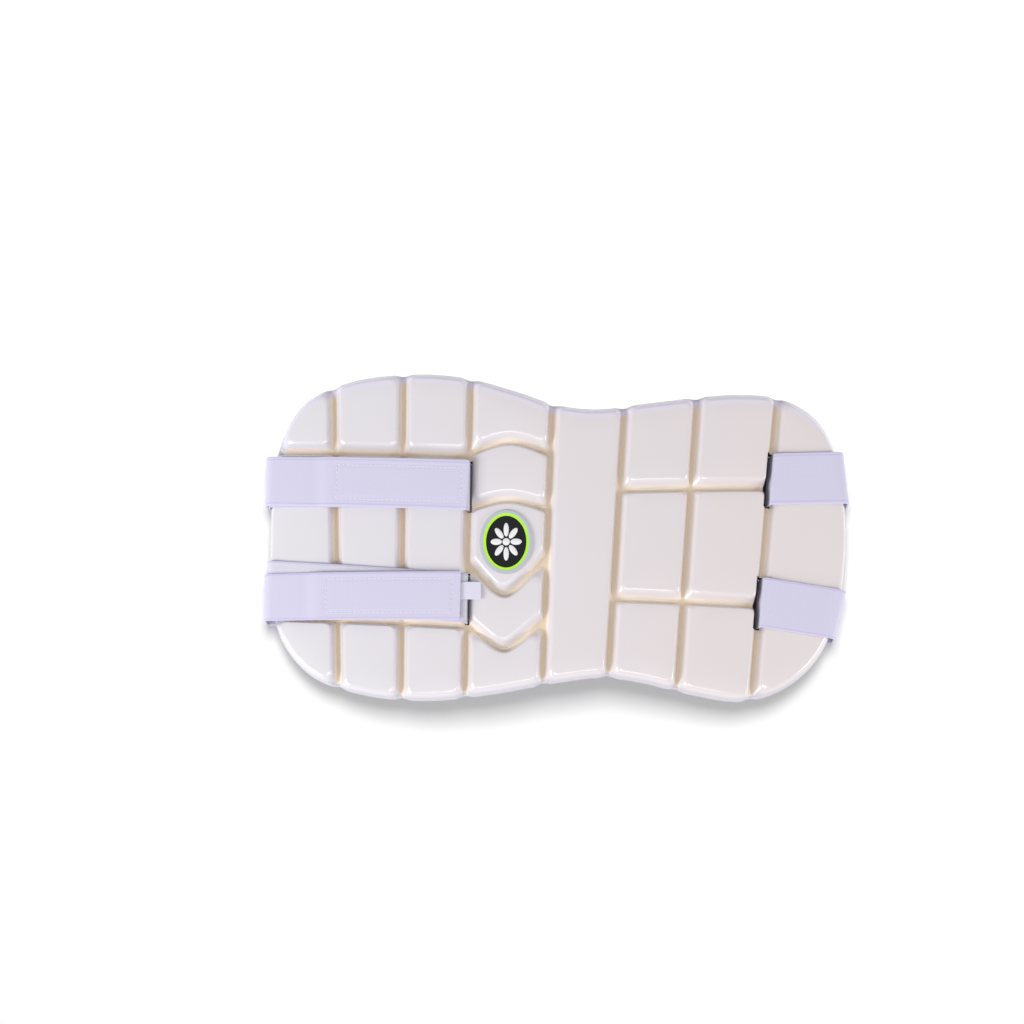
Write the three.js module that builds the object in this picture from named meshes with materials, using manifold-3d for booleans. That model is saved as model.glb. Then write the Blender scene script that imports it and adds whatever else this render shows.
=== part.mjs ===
// Chest guard for sport: a moulded foam pad of raised blocks, worn with two elastic straps.
// Millimetres. X runs across the chest, Y up the body and Z out of the chest. It lies face up.

import * as THREE from 'three';
import { mergeVertices } from 'three/addons/utils/BufferGeometryUtils.js';
import Module from 'manifold-3d';

// Arch of the pad: its hollow back is part of a cylinder along Y
const BACK_RADIUS = 720;
const PLAN_RADIUS = 730;
const HALF_LENGTH = 190;
const BACK_EDGE_HEIGHT = 4.8;

// Pad thicknesses, measured out from the back
const BASE_THICKNESS = 7.5;
const CROWN_HEIGHT = 14.5;
const BACK_CHAMFER = 2;
const FRONT_CHAMFER = 1.2;
const END_TRIM = 0.3;

// Raised blocks and the grooves between them
const GROOVE_FLOOR = 3.3;
const RIM_LEDGE = 1;
const WALL_RUN = 4.3;
const WALL_DROP = 5.5;
const WALL_HEIGHT = 1.5;
const CORNER_RADIUS = 5;
const CORNER_TURN = Math.PI / 5;

// Straps, strips, patches and tab
const GAP = 0.4;
const STRAP_THICKNESS = 1.2;
const STRIP_WIDTH = 32;
const STRIP_THICKNESS = 1.2;
const PATCH_WIDTH = 24;
const PATCH_THICKNESS = 1.2;
const TAB_WIDTH = 11.5;
const TAB_THICKNESS = 0.8;
const SLOT_SPARE = 1.6;
const TAIL_LENGTH = 30;
const EDGE_EASE = 5;
const BACK_EASE = 2.5;
const SLOT_EASE = 1.1;
const SLOT_TOP_EASE = 2;
const STEP_LEAD = 2;
const STEP_RUN = 8;

// Heights of the layers' middles over the back, from the pad outwards
const TAIL_LEVEL = -GAP - STRAP_THICKNESS / 2;
const STRIP_BACK_LEVEL = -GAP - STRIP_THICKNESS / 2;
const STRIP_LEVEL = CROWN_HEIGHT + GAP + STRIP_THICKNESS / 2;
const RIGHT_STRAP_LEVEL = CROWN_HEIGHT + 2 * GAP + STRAP_THICKNESS / 2;
const FOLD_LEVEL = STRIP_LEVEL + STRIP_THICKNESS / 2 + GAP + STRAP_THICKNESS / 2;
const PATCH_LEVEL = STRIP_LEVEL + STRIP_THICKNESS / 2 + GAP + PATCH_THICKNESS / 2;
const END_LEVEL = PATCH_LEVEL + PATCH_THICKNESS / 2 + GAP + STRAP_THICKNESS / 2;

// Badge
const BADGE = { x: -33.5, y: -3.5, halfWidth: 17, halfHeight: 21, thickness: 1.2 };

// Fineness of the facets
const OUTLINE_STEPS = 80;
const ARCH_STATIONS = 36;
const BEVEL_STEPS = 2;
const CORNER_STEPS = 3;
const POINT_SPACING = 1;
const TRACE_STEP = 6;
const RUN_STEP = 22;
const BEND_STEPS = 5;

// Outer edge of the pad, clockwise from the middle of the left end
const OUTLINE_KNOTS = [
  { x: -190, y: 0 }, { x: -188.5, y: 40 }, { x: -182.5, y: 69 }, { x: -167.5, y: 93 },
  { x: -140, y: 105.5 }, { x: -98, y: 110 }, { x: -62, y: 107 }, { x: -28, y: 97.5 },
  { x: 0, y: 88 }, { x: 26, y: 85.5 }, { x: 60, y: 90 }, { x: 118, y: 97 },
  { x: 148, y: 95 }, { x: 170.5, y: 82.5 }, { x: 183.5, y: 59 }, { x: 189.5, y: 20 },
  { x: 188.5, y: -17 }, { x: 182, y: -51 }, { x: 167, y: -80 }, { x: 145, y: -98 },
  { x: 120, y: -105.5 }, { x: 84, y: -101 }, { x: 54, y: -94 }, { x: 29, y: -91 },
  { x: 2, y: -94 }, { x: -45, y: -102 }, { x: -85, y: -105.5 }, { x: -125, y: -101.5 },
  { x: -160, y: -89 }, { x: -181, y: -65 }, { x: -189, y: -30 },
];

// Grooves up the body, each a straight line through these two heights
const GROOVE_TOP = 100;
const GROOVE_BOTTOM = -100;
const GROOVES = [
  { top: -148.2, bottom: -142.9 },
  { top: -101.8, bottom: -101.9 },
  { top: -57.6, bottom: -60.7 },
  { top: -3.6, bottom: -10.6 },
  { top: 43.9, bottom: 31.4 },
  { top: 91.3, bottom: 76.3 },
  { top: 144.2, bottom: 125.2 },
];

// Grooves across the chest: straight ones, and arched or pointed ones down the badge's column
const straightRow = (left, right) => ({
  isCurved: false,
  heightAt: (x) => left.y + ((x - left.x) * (right.y - left.y)) / (right.x - left.x),
});
const chevronRow = ({ middle, halfWidth, ends, tip, softness }) => ({
  isCurved: true,
  heightAt: (x) => {
    const reach = Math.hypot((x - middle) / halfWidth, softness) - softness;
    return tip + ((ends - tip) * reach) / (Math.hypot(1, softness) - softness);
  },
});
const LEFT_ROWS = [
  straightRow({ x: -184, y: 60.5 }, { x: -60, y: 54 }),
  straightRow({ x: -184, y: -49.5 }, { x: -60, y: -58 }),
];
const RIGHT_ROWS = [
  straightRow({ x: 38, y: 31 }, { x: 137, y: 34.6 }),
  straightRow({ x: 35, y: -40.4 }, { x: 130, y: -43.4 }),
];
const BADGE_ROWS = [
  chevronRow({ middle: -32, halfWidth: 26, ends: 55, tip: 63, softness: 0.5 }),
  chevronRow({ middle: -33, halfWidth: 26, ends: 18, tip: 24.5, softness: 0.5 }),
  chevronRow({ middle: -35, halfWidth: 25.5, ends: -14.5, tip: -37.5, softness: 0.3 }),
  chevronRow({ middle: -35.2, halfWidth: 25, ends: -55.3, tip: -73.3, softness: 0.25 }),
];
const COLUMN_ROWS = [
  LEFT_ROWS, LEFT_ROWS, LEFT_ROWS, BADGE_ROWS, [], RIGHT_ROWS, RIGHT_ROWS, [],
];

// Straps: heights on the body at each turn, plan places of their turns and ends, and the width of the
// elastic at each side, which is less where it is stretched more
const RIGHT_SLOT = { groove: 6, width: 5.4, shift: -1 };
const LEFT_SLOT = { groove: 2, width: 2.8, shift: 0.9 };
const STRIP_EDGE = -190;
const FOLD_EDGE = -191.6;
const STRAPS = [
  {
    name: 'upper', leftWidth: 32.5, rightWidth: 34.5,
    slotY: 40, rightEdge: { x: 188.8, y: 43, lean: -0.1 }, leftEdgeY: 40.5, end: { x: -57.9, y: 33.5 },
    patchStart: -147, patchEnd: -60.5, stripEdgeY: 39.5, stripSlotY: 34,
  },
  {
    name: 'lower', leftWidth: 31, rightWidth: 33,
    slotY: -41.5, rightEdge: { x: 183.8, y: -48, lean: 0.24 }, leftEdgeY: -36.5, end: { x: -62.5, y: -39 },
    patchStart: -153, patchEnd: -66.5, stripEdgeY: -28, stripSlotY: -40,
  },
];
const TAB = { y: -35.5, hiddenX: -65.5, foldX: -58.5, tipX: -49.5, tipLevel: CROWN_HEIGHT + GAP + 1 };

// Finishes
const finish = (color, roughness) => new THREE.MeshStandardMaterial({ color, roughness, metalness: 0 });
const MOULDED_SKIN = finish('#e9e4e6', 0.35);
const ELASTIC = finish('#dcdaee', 0.85);
const LOOP_PILE = finish('#e2e0ee', 0.95);
const HOOK_TAPE = finish('#e4e2ec', 0.7);
const WOVEN_TAB = finish('#e0deea', 0.8);
const BADGE_RUBBER = finish('#1c1d1f', 0.45);

const wasm = await Module();
wasm.setup();

// A place given by plan x, height y on the body and level over the back, on the arched pad
const ARCH_CENTRE =
  BACK_EDGE_HEIGHT - BACK_RADIUS * Math.cos(Math.asin(HALF_LENGTH / PLAN_RADIUS));
const archAngle = (x) => Math.asin(x / PLAN_RADIUS);
const onPad = (x, y, level) => {
  const angle = archAngle(x);
  const radius = BACK_RADIUS + level;
  return new THREE.Vector3(radius * Math.sin(angle), y, ARCH_CENTRE + radius * Math.cos(angle));
};

// The plan x that lands at a given finished x at a given level
const planFor = (x, level) => (x * PLAN_RADIUS) / (BACK_RADIUS + level);

// Bends a flat geometry, whose Z is the level, onto the arched pad
const bend = (geometry) => {
  const places = geometry.attributes.position;
  for (let i = 0; i < places.count; i += 1) {
    const bent = onPad(places.getX(i), places.getY(i), places.getZ(i));
    places.setXYZ(i, bent.x, bent.y, bent.z);
  }
  return geometry;
};

// Joining and cutting of closed meshes
const toSolid = (geometry) => {
  const bare = geometry.clone();
  bare.deleteAttribute('normal');
  bare.deleteAttribute('uv');
  const merged = mergeVertices(bare, 1e-3);
  return new wasm.Manifold(new wasm.Mesh({
    numProp: 3,
    vertProperties: Float32Array.from(merged.attributes.position.array),
    triVerts: Uint32Array.from(merged.index.array),
  }));
};
const toGeometry = (solid) => {
  const mesh = solid.getMesh();
  const geometry = new THREE.BufferGeometry();
  geometry.setAttribute('position', new THREE.BufferAttribute(mesh.vertProperties, 3));
  geometry.setIndex(new THREE.BufferAttribute(mesh.triVerts, 1));
  geometry.computeVertexNormals();
  return geometry;
};

// Skin through a row of sections, each a ring of places in the same order; a loop joins up, a run is capped
const loft = (sections, isLoop = false) => {
  const ring = sections[0].length;
  const index = [];
  const spans = isLoop ? sections.length : sections.length - 1;
  for (let i = 0; i < spans; i += 1) {
    const here = i * ring;
    const next = ((i + 1) % sections.length) * ring;
    for (let j = 0; j < ring; j += 1) {
      const k = (j + 1) % ring;
      index.push(here + j, here + k, next + k, here + j, next + k, next + j);
    }
  }
  if (!isLoop) {
    const last = (sections.length - 1) * ring;
    for (let j = 1; j < ring - 1; j += 1) {
      index.push(0, j + 1, j, last, last + j, last + j + 1);
    }
  }
  const geometry = new THREE.BufferGeometry();
  geometry.setFromPoints(sections.flat());
  geometry.setIndex(index);
  geometry.computeVertexNormals();
  return geometry;
};

// Outer edge of the pad as a smooth closed curve
const outlineCurve = new THREE.CatmullRomCurve3(
  OUTLINE_KNOTS.map((knot) => new THREE.Vector3(knot.x, knot.y, 0)), true, 'centripetal');
const outline = outlineCurve.getSpacedPoints(OUTLINE_STEPS).slice(0, OUTLINE_STEPS)
  .map((point) => new THREE.Vector2(point.x, point.y)).reverse();

// The same edge moved inwards
const insetOutline = (distance) => outline.map((point, i) => {
  const before = outline.at(i - 1);
  const after = outline[(i + 1) % outline.length];
  const along = after.clone().sub(before).normalize();
  return new THREE.Vector2(point.x - along.y * distance, point.y + along.x * distance);
});

// Lowest and highest y of the outer edge at a plan x
const edgesAt = (x) => {
  const heights = [];
  outline.forEach((point, i) => {
    const next = outline[(i + 1) % outline.length];
    if ((point.x <= x) !== (next.x <= x)) {
      heights.push(point.y + ((x - point.x) * (next.y - point.y)) / (next.x - point.x));
    }
  });
  return { low: Math.min(...heights), high: Math.max(...heights) };
};

// Base of the pad: chamfered sections across the body, close together towards the round ends
const buildBase = () => {
  const left = Math.min(...outline.map((point) => point.x));
  const right = Math.max(...outline.map((point) => point.x));
  const middle = (left + right) / 2;
  const reach = (right - left) / 2 - END_TRIM;
  const sections = [];
  for (let i = 0; i <= ARCH_STATIONS; i += 1) {
    const x = middle - reach * Math.cos((Math.PI * i) / ARCH_STATIONS);
    const { low, high } = edgesAt(x);
    sections.push([
      onPad(x, low + BACK_CHAMFER, 0),
      onPad(x, high - BACK_CHAMFER, 0),
      onPad(x, high, BACK_CHAMFER),
      onPad(x, high, BASE_THICKNESS - FRONT_CHAMFER),
      onPad(x, high - FRONT_CHAMFER, BASE_THICKNESS),
      onPad(x, low + FRONT_CHAMFER, BASE_THICKNESS),
      onPad(x, low, BASE_THICKNESS - FRONT_CHAMFER),
      onPad(x, low, BACK_CHAMFER),
    ]);
  }
  return toSolid(loft(sections));
};

// Keeps the part of a plan outline where side is positive; trace gives the points of a curved cut
const clip = (points, side, trace) => {
  const first = points.findIndex((point) => side(point) > 0);
  const kept = [];
  let leaving = null;
  for (let i = 0; i < points.length; i += 1) {
    const here = points[(first + i) % points.length];
    const next = points[(first + i + 1) % points.length];
    const a = side(here);
    const b = side(next);
    if (a > 0) {
      kept.push(here);
    }
    if ((a > 0) !== (b > 0)) {
      const crossing = here.clone().lerp(next, a / (a - b));
      if (a > 0) {
        leaving = crossing;
        kept.push(crossing);
      } else {
        kept.push(...trace(leaving, crossing), crossing);
      }
    }
  }
  return kept;
};
const noTrace = () => [];

// Plan x of a groove up the body at height y, and its lean from Y
const grooveLean = (groove) => Math.atan2(groove.top - groove.bottom, GROOVE_TOP - GROOVE_BOTTOM);
const grooveX = (groove, y) =>
  groove.bottom + ((y - GROOVE_BOTTOM) * (groove.top - groove.bottom)) / (GROOVE_TOP - GROOVE_BOTTOM);

// Edge of a row groove's floor, above or below its middle line, square to the line's slope over a millimetre
const rowEdge = (row, side) => (x) => {
  const slope = row.heightAt(x + 0.5) - row.heightAt(x - 0.5);
  return row.heightAt(x) + side * (GROOVE_FLOOR / 2) * Math.hypot(1, slope);
};
const traceRow = (row, edge) => (from, to) => {
  const count = row.isCurved ? Math.floor(Math.abs(to.x - from.x) / TRACE_STEP) : 0;
  const points = [];
  for (let i = 1; i < count; i += 1) {
    const x = from.x + ((to.x - from.x) * i) / count;
    points.push(new THREE.Vector2(x, edge(x)));
  }
  return points;
};

// Plan outlines of the blocks in one column, from the top down
const blockOutlines = (column) => {
  let strip = insetOutline(RIM_LEDGE);
  if (column > 0) {
    const groove = GROOVES[column - 1];
    strip = clip(strip, (p) => p.x - grooveX(groove, p.y) - GROOVE_FLOOR / 2, noTrace);
  }
  if (column < GROOVES.length) {
    const groove = GROOVES[column];
    strip = clip(strip, (p) => grooveX(groove, p.y) - GROOVE_FLOOR / 2 - p.x, noTrace);
  }
  const rows = COLUMN_ROWS[column];
  const outlines = [];
  for (let i = 0; i <= rows.length; i += 1) {
    let block = strip;
    if (i > 0) {
      const ceiling = rowEdge(rows[i - 1], -1);
      block = clip(block, (p) => ceiling(p.x) - p.y, traceRow(rows[i - 1], ceiling));
    }
    if (i < rows.length) {
      const floor = rowEdge(rows[i], 1);
      block = clip(block, (p) => p.y - floor(p.x), traceRow(rows[i], floor));
    }
    outlines.push(block);
  }
  return outlines;
};

// Sharp outward corner of a plan outline: how far the rounding reaches and the points of its arc
const sharpCorner = (points, i) => {
  const point = points[i];
  const back = points.at(i - 1).clone().sub(point).normalize();
  const ahead = points[(i + 1) % points.length].clone().sub(point).normalize();
  const half = back.angleTo(ahead) / 2;
  const turn = Math.PI - 2 * half;
  if (turn < CORNER_TURN || ahead.cross(back) < 0) {
    return null;
  }
  const cut = CORNER_RADIUS / Math.tan(half);
  const centre = back.clone().add(ahead).setLength(CORNER_RADIUS / Math.sin(half)).add(point);
  const start = point.clone().addScaledVector(back, cut);
  const arc = [];
  for (let step = 0; step <= CORNER_STEPS; step += 1) {
    arc.push(start.clone().rotateAround(centre, (turn * step) / CORNER_STEPS));
  }
  return { point, cut, arc };
};

// Plan outline without points that crowd the one before them, and with its sharp corners rounded
const roundedOutline = (crowded) => {
  const points = crowded.filter((point, i) => point.distanceTo(crowded.at(i - 1)) > POINT_SPACING);
  const corners = points.map((_, i) => sharpCorner(points, i));
  const sharp = corners.filter((corner) => corner !== null);
  const isClear = (point) => sharp.every(
    (corner) => point.distanceTo(corner.point) > corner.cut + POINT_SPACING);
  return points.flatMap((point, i) => {
    if (corners[i]) {
      return corners[i].arc;
    }
    return isClear(point) ? [point] : [];
  });
};

// One raised block with rounded walls, standing on the base
const buildBlock = (points) => {
  const block = new THREE.ExtrudeGeometry(new THREE.Shape(roundedOutline(points)), {
    depth: WALL_HEIGHT,
    bevelEnabled: true,
    bevelThickness: WALL_DROP,
    bevelSize: WALL_RUN,
    bevelOffset: -WALL_RUN,
    bevelSegments: BEVEL_STEPS,
  });
  block.translate(0, 0, CROWN_HEIGHT - WALL_DROP - WALL_HEIGHT);
  return toSolid(bend(block));
};

// Plan x of a strap slot beside its groove, and the cutter for it
const slotX = (slot, y) => grooveX(GROOVES[slot.groove], y) + slot.shift;
const buildSlot = (slot, y, bandWidth) => {
  const x = slotX(slot, y);
  const cutter = new THREE.BoxGeometry(slot.width, bandWidth + SLOT_SPARE, 4 * CROWN_HEIGHT);
  const place = onPad(x, y, CROWN_HEIGHT / 2);
  cutter.rotateZ(-grooveLean(GROOVES[slot.groove]));
  cutter.rotateY(archAngle(x));
  cutter.translate(place.x, place.y, place.z);
  return toSolid(cutter);
};

const buildPad = () => {
  let pad = buildBase();
  COLUMN_ROWS.forEach((_, column) => {
    blockOutlines(column).forEach((points) => {
      pad = pad.add(buildBlock(points));
    });
  });
  STRAPS.forEach((strap) => {
    pad = pad.subtract(buildSlot(RIGHT_SLOT, strap.slotY, strap.rightWidth));
    pad = pad.subtract(buildSlot(LEFT_SLOT, strap.stripSlotY, STRIP_WIDTH));
  });
  return toGeometry(pad);
};

// Turning point of a band: its place, how far from it the band starts to bend, and the lean from Y of its
// fold, which is square to the run where no lean is given
const turnAt = (place, ease = 0, lean = null) => ({ place, ease, lean });

// Places along the face of the pad between two ends, with no bends of their own
const faceRun = (from, to, level) => {
  const count = Math.ceil(Math.abs(to.x - from.x) / RUN_STEP);
  const turns = [];
  for (let i = 1; i < count; i += 1) {
    const share = i / count;
    const x = THREE.MathUtils.lerp(from.x, to.x, share);
    const y = THREE.MathUtils.lerp(from.y, to.y, share);
    turns.push(turnAt(onPad(x, y, level)));
  }
  return turns;
};

// Stations along the middle line of a band through its turns
const bandStations = (turns) => turns.flatMap(({ place, ease, lean }, i) => {
  if (ease === 0) {
    return [{ place, lean }];
  }
  const before = turns.at(i - 1).place;
  const after = turns[(i + 1) % turns.length].place;
  const start = place.clone().add(before.clone().sub(place).setLength(ease));
  const end = place.clone().add(after.clone().sub(place).setLength(ease));
  const curve = new THREE.QuadraticBezierCurve3(start, place, end);
  return curve.getPoints(BEND_STEPS).map((point) => ({ place: point, lean }));
});

// Flat band through its turns, its width across the way it runs and worked out from its finished x
const buildBand = (turns, widthAt, thickness, isLoop = false) => {
  const stations = bandStations(turns);
  const last = stations.length - 1;
  const sections = stations.map(({ place, lean }, i) => {
    const before = isLoop ? stations.at(i - 1) : stations[Math.max(i - 1, 0)];
    const after = isLoop ? stations[(i + 1) % stations.length] : stations[Math.min(i + 1, last)];
    const along = after.place.clone().sub(before.place).normalize();
    const across = new THREE.Vector3(Math.sin(lean ?? 0), Math.cos(lean ?? 0), 0);
    if (lean === null) {
      across.addScaledVector(along, -along.dot(across)).normalize();
    }
    const out = along.clone().cross(across).normalize();
    const halfWidth = widthAt(place.x) / 2;
    const corner = (a, b) => place.clone()
      .addScaledVector(across, a * halfWidth).addScaledVector(out, (b * thickness) / 2);
    return [corner(-1, -1), corner(1, -1), corner(1, 1), corner(-1, 1)];
  });
  return loft(sections, isLoop);
};

// Elastic strap: tail, slot, over the last column, round the right edge, behind, round the left edge, end
const frontHeight = (strap, x) => THREE.MathUtils.mapLinear(
  x, FOLD_EDGE, strap.end.x, strap.leftEdgeY, strap.end.y);
const buildStrap = (strap) => {
  const lean = grooveLean(GROOVES[RIGHT_SLOT.groove]);
  const wall = RIGHT_SLOT.width / 2 - GAP - STRAP_THICKNESS / 2;
  const slot = { x: slotX(RIGHT_SLOT, strap.slotY) + wall, y: strap.slotY };
  const floor = STRAP_THICKNESS / 2;
  const widthAt = (x) => THREE.MathUtils.mapLinear(
    x, FOLD_EDGE, strap.rightEdge.x, strap.leftWidth, strap.rightWidth);
  const right = { x: planFor(strap.rightEdge.x, RIGHT_STRAP_LEVEL), y: strap.rightEdge.y };
  const left = { x: planFor(FOLD_EDGE, FOLD_LEVEL), y: strap.leftEdgeY };
  const stepTop = { x: strap.patchStart - STEP_LEAD, y: frontHeight(strap, strap.patchStart) };
  const stepFoot = { x: stepTop.x - STEP_RUN, y: frontHeight(strap, stepTop.x - STEP_RUN) };
  return buildBand([
    turnAt(onPad(slot.x + TAIL_LENGTH, slot.y, TAIL_LEVEL)),
    turnAt(onPad(slot.x, slot.y, TAIL_LEVEL), SLOT_EASE, lean),
    turnAt(onPad(slot.x, slot.y, RIGHT_STRAP_LEVEL), SLOT_TOP_EASE, lean),
    ...faceRun(slot, right, RIGHT_STRAP_LEVEL),
    turnAt(onPad(right.x, right.y, RIGHT_STRAP_LEVEL), EDGE_EASE, strap.rightEdge.lean),
    turnAt(new THREE.Vector3(strap.rightEdge.x, right.y, floor), BACK_EASE, strap.rightEdge.lean),
    turnAt(new THREE.Vector3(FOLD_EDGE, left.y, floor), BACK_EASE),
    turnAt(onPad(left.x, left.y, FOLD_LEVEL), EDGE_EASE),
    turnAt(onPad(stepFoot.x, stepFoot.y, FOLD_LEVEL)),
    turnAt(onPad(stepTop.x, stepTop.y, END_LEVEL)),
    ...faceRun(stepTop, strap.end, END_LEVEL),
    turnAt(onPad(strap.end.x, strap.end.y, END_LEVEL)),
  ], widthAt, STRAP_THICKNESS);
};

// Loop strip: a closed band through the left slot, over the first columns and round the left edge
const buildStrip = (strap) => {
  const lean = grooveLean(GROOVES[LEFT_SLOT.groove]);
  const wall = LEFT_SLOT.width / 2 - GAP - STRIP_THICKNESS / 2;
  const slot = { x: slotX(LEFT_SLOT, strap.stripSlotY) - wall, y: strap.stripSlotY };
  const edge = { x: planFor(STRIP_EDGE, STRIP_LEVEL), y: strap.stripEdgeY };
  const backEdge = { x: planFor(STRIP_EDGE, STRIP_BACK_LEVEL), y: strap.stripEdgeY };
  return buildBand([
    turnAt(onPad(slot.x, slot.y, STRIP_BACK_LEVEL), SLOT_EASE, lean),
    turnAt(onPad(slot.x, slot.y, STRIP_LEVEL), SLOT_TOP_EASE, lean),
    ...faceRun(slot, edge, STRIP_LEVEL),
    turnAt(onPad(edge.x, edge.y, STRIP_LEVEL), EDGE_EASE),
    turnAt(onPad(backEdge.x, backEdge.y, STRIP_BACK_LEVEL), BACK_EASE),
    ...faceRun(backEdge, slot, STRIP_BACK_LEVEL),
  ], () => STRIP_WIDTH, STRIP_THICKNESS, true);
};

// Hook patch between a strap end and the loop strip
const buildPatch = (strap) => {
  const from = { x: strap.patchStart, y: frontHeight(strap, strap.patchStart) };
  const to = { x: strap.patchEnd, y: frontHeight(strap, strap.patchEnd) };
  return buildBand([
    turnAt(onPad(from.x, from.y, PATCH_LEVEL)),
    ...faceRun(from, to, PATCH_LEVEL),
    turnAt(onPad(to.x, to.y, PATCH_LEVEL)),
  ], () => PATCH_WIDTH, PATCH_THICKNESS);
};

// Blank woven tab, sewn under the lower strap end and drooping onto the badge's column
const buildTab = () => buildBand([
  turnAt(onPad(TAB.hiddenX, TAB.y, PATCH_LEVEL)),
  turnAt(onPad(TAB.foldX, TAB.y, PATCH_LEVEL)),
  turnAt(onPad(TAB.tipX, TAB.y, TAB.tipLevel)),
], () => TAB_WIDTH, TAB_THICKNESS);

// Plain oval badge on the middle block
const buildBadge = () => {
  const oval = new THREE.Shape();
  oval.absellipse(BADGE.x, BADGE.y, BADGE.halfWidth, BADGE.halfHeight, 0, 2 * Math.PI);
  const plate = new THREE.ExtrudeGeometry(oval, {
    depth: BADGE.thickness, bevelEnabled: false, curveSegments: 28,
  });
  plate.translate(0, 0, CROWN_HEIGHT + GAP);
  return toGeometry(toSolid(bend(plate)));
};

const addPiece = (group, name, geometry, material) => {
  const piece = new THREE.Mesh(geometry, material);
  piece.name = name;
  group.add(piece);
};

const chestGuard = new THREE.Group();
addPiece(chestGuard, 'moulded_pad', buildPad(), MOULDED_SKIN);
STRAPS.forEach((strap) => {
  addPiece(chestGuard, `${strap.name}_strap`, buildStrap(strap), ELASTIC);
  addPiece(chestGuard, `${strap.name}_loop_strip`, buildStrip(strap), LOOP_PILE);
  addPiece(chestGuard, `${strap.name}_hook_patch`, buildPatch(strap), HOOK_TAPE);
});
addPiece(chestGuard, 'size_tab', buildTab(), WOVEN_TAB);
addPiece(chestGuard, 'badge', buildBadge(), BADGE_RUBBER);

// The origin is on the floor under the middle of the whole object
const extent = new THREE.Box3().setFromObject(chestGuard);
const middle = extent.getCenter(new THREE.Vector3());
chestGuard.position.set(-middle.x, -middle.y, -extent.min.z);
chestGuard.updateMatrixWorld(true);

export default chestGuard;
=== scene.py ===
"""Looks of a chest guard: a moulded pad of raised blocks, two elastic straps, their fastenings and a badge.

Shapes are worked out flat, in millimetres: x across the chest, y up the body and a level over the back of
the pad. They are then bent onto the arched pad and set in the row frame, in metres.
"""

import logging
import math
from collections.abc import Callable, Sequence
from dataclasses import dataclass, field
from enum import Enum, IntEnum

import bmesh
import bpy
from mathutils import Matrix, Vector, geometry, kdtree


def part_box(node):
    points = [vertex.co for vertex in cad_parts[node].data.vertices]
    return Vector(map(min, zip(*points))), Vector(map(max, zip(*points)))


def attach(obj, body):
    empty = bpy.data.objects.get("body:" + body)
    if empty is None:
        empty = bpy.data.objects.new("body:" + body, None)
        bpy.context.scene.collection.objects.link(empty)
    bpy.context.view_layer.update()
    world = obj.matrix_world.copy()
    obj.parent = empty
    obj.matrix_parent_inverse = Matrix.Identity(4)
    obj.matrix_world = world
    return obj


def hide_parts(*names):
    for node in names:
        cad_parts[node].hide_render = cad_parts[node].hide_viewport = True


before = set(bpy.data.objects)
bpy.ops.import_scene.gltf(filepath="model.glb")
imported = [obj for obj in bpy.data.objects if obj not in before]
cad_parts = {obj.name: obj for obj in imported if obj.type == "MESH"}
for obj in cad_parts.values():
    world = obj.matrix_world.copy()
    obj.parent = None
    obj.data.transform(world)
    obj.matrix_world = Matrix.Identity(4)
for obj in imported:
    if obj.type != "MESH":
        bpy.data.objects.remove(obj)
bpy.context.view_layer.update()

LOG = logging.getLogger("chest_guard")
MM = 0.001
UP = Vector((0.0, 0.0, 1.0))
BODY = "root"
BAND_MAP = "length_and_width"

# A wave texture repeats each time that its scaled coordinate grows by this
WAVE_PERIOD = math.pi / 10


class Side(Enum):
    """Side of a groove across the chest."""

    ABOVE = 1
    BELOW = -1


class Lit(Enum):
    """What a lamp shines on: how the floor is linked to it."""

    FLOOR = "INCLUDE"
    GUARD = "EXCLUDE"


class PadFinish(Enum):
    """Number of each of the pad's materials."""

    SKIN = 0
    # The slots' dark finish is painted shade
    FOAM = 1


class BadgeColour(Enum):
    """Number of each of the badge's materials."""

    RIM = 0
    RING = 1
    FIELD = 2
    ROSETTE = 3


class Selvedge(Enum):
    """Kind of a band's selvedge: how the distance from the band's middle is tested for it."""

    STRIPE = "COMPARE"
    BORDER = "GREATER_THAN"


class MixInput(IntEnum):
    """Number of an input of a mix node, where several have one name."""

    SHARE = 0
    FIRST_VALUE = 2
    SECOND_VALUE = 3
    FIRST_COLOUR = 6
    SECOND_COLOUR = 7


class MixOutput(IntEnum):
    """Number of an output of a mix node, where several have one name."""

    VALUE = 0
    COLOUR = 2


def linear(colour: str) -> tuple[float, float, float, float]:
    """Turns an sRGB hex colour into linear red, green, blue and alpha.

    Args:
        colour: six hex digits after a hash sign.

    Returns:
        The linear colour, opaque.
    """
    shares = [int(colour[i:i + 2], 16) / 255 for i in (1, 3, 5)]
    red, green, blue = (s / 12.92 if s <= 0.04045 else ((s + 0.055) / 1.055) ** 2.4 for s in shares)
    return red, green, blue, 1.0


def add_node(
    tree: bpy.types.NodeTree,
    kind: str,
    values: dict[str | int, object] | None = None,
    links: dict[str | int, bpy.types.NodeSocket] | None = None,
    **settings: object,
) -> bpy.types.Node:
    """Adds a node with its settings, the values of its sockets and the links into them.

    Args:
        tree: the material's node tree.
        kind: the node's type.
        values: socket values by socket name or number.
        links: source sockets by the name or number of the socket that they go into.
        **settings: the node's own properties.

    Returns:
        The new node.
    """
    node = tree.nodes.new(kind)
    for name, value in settings.items():
        setattr(node, name, value)
    for socket, value in (values or {}).items():
        node.inputs[socket].default_value = value
    for socket, source in (links or {}).items():
        tree.links.new(source, node.inputs[socket])
    return node


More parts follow.
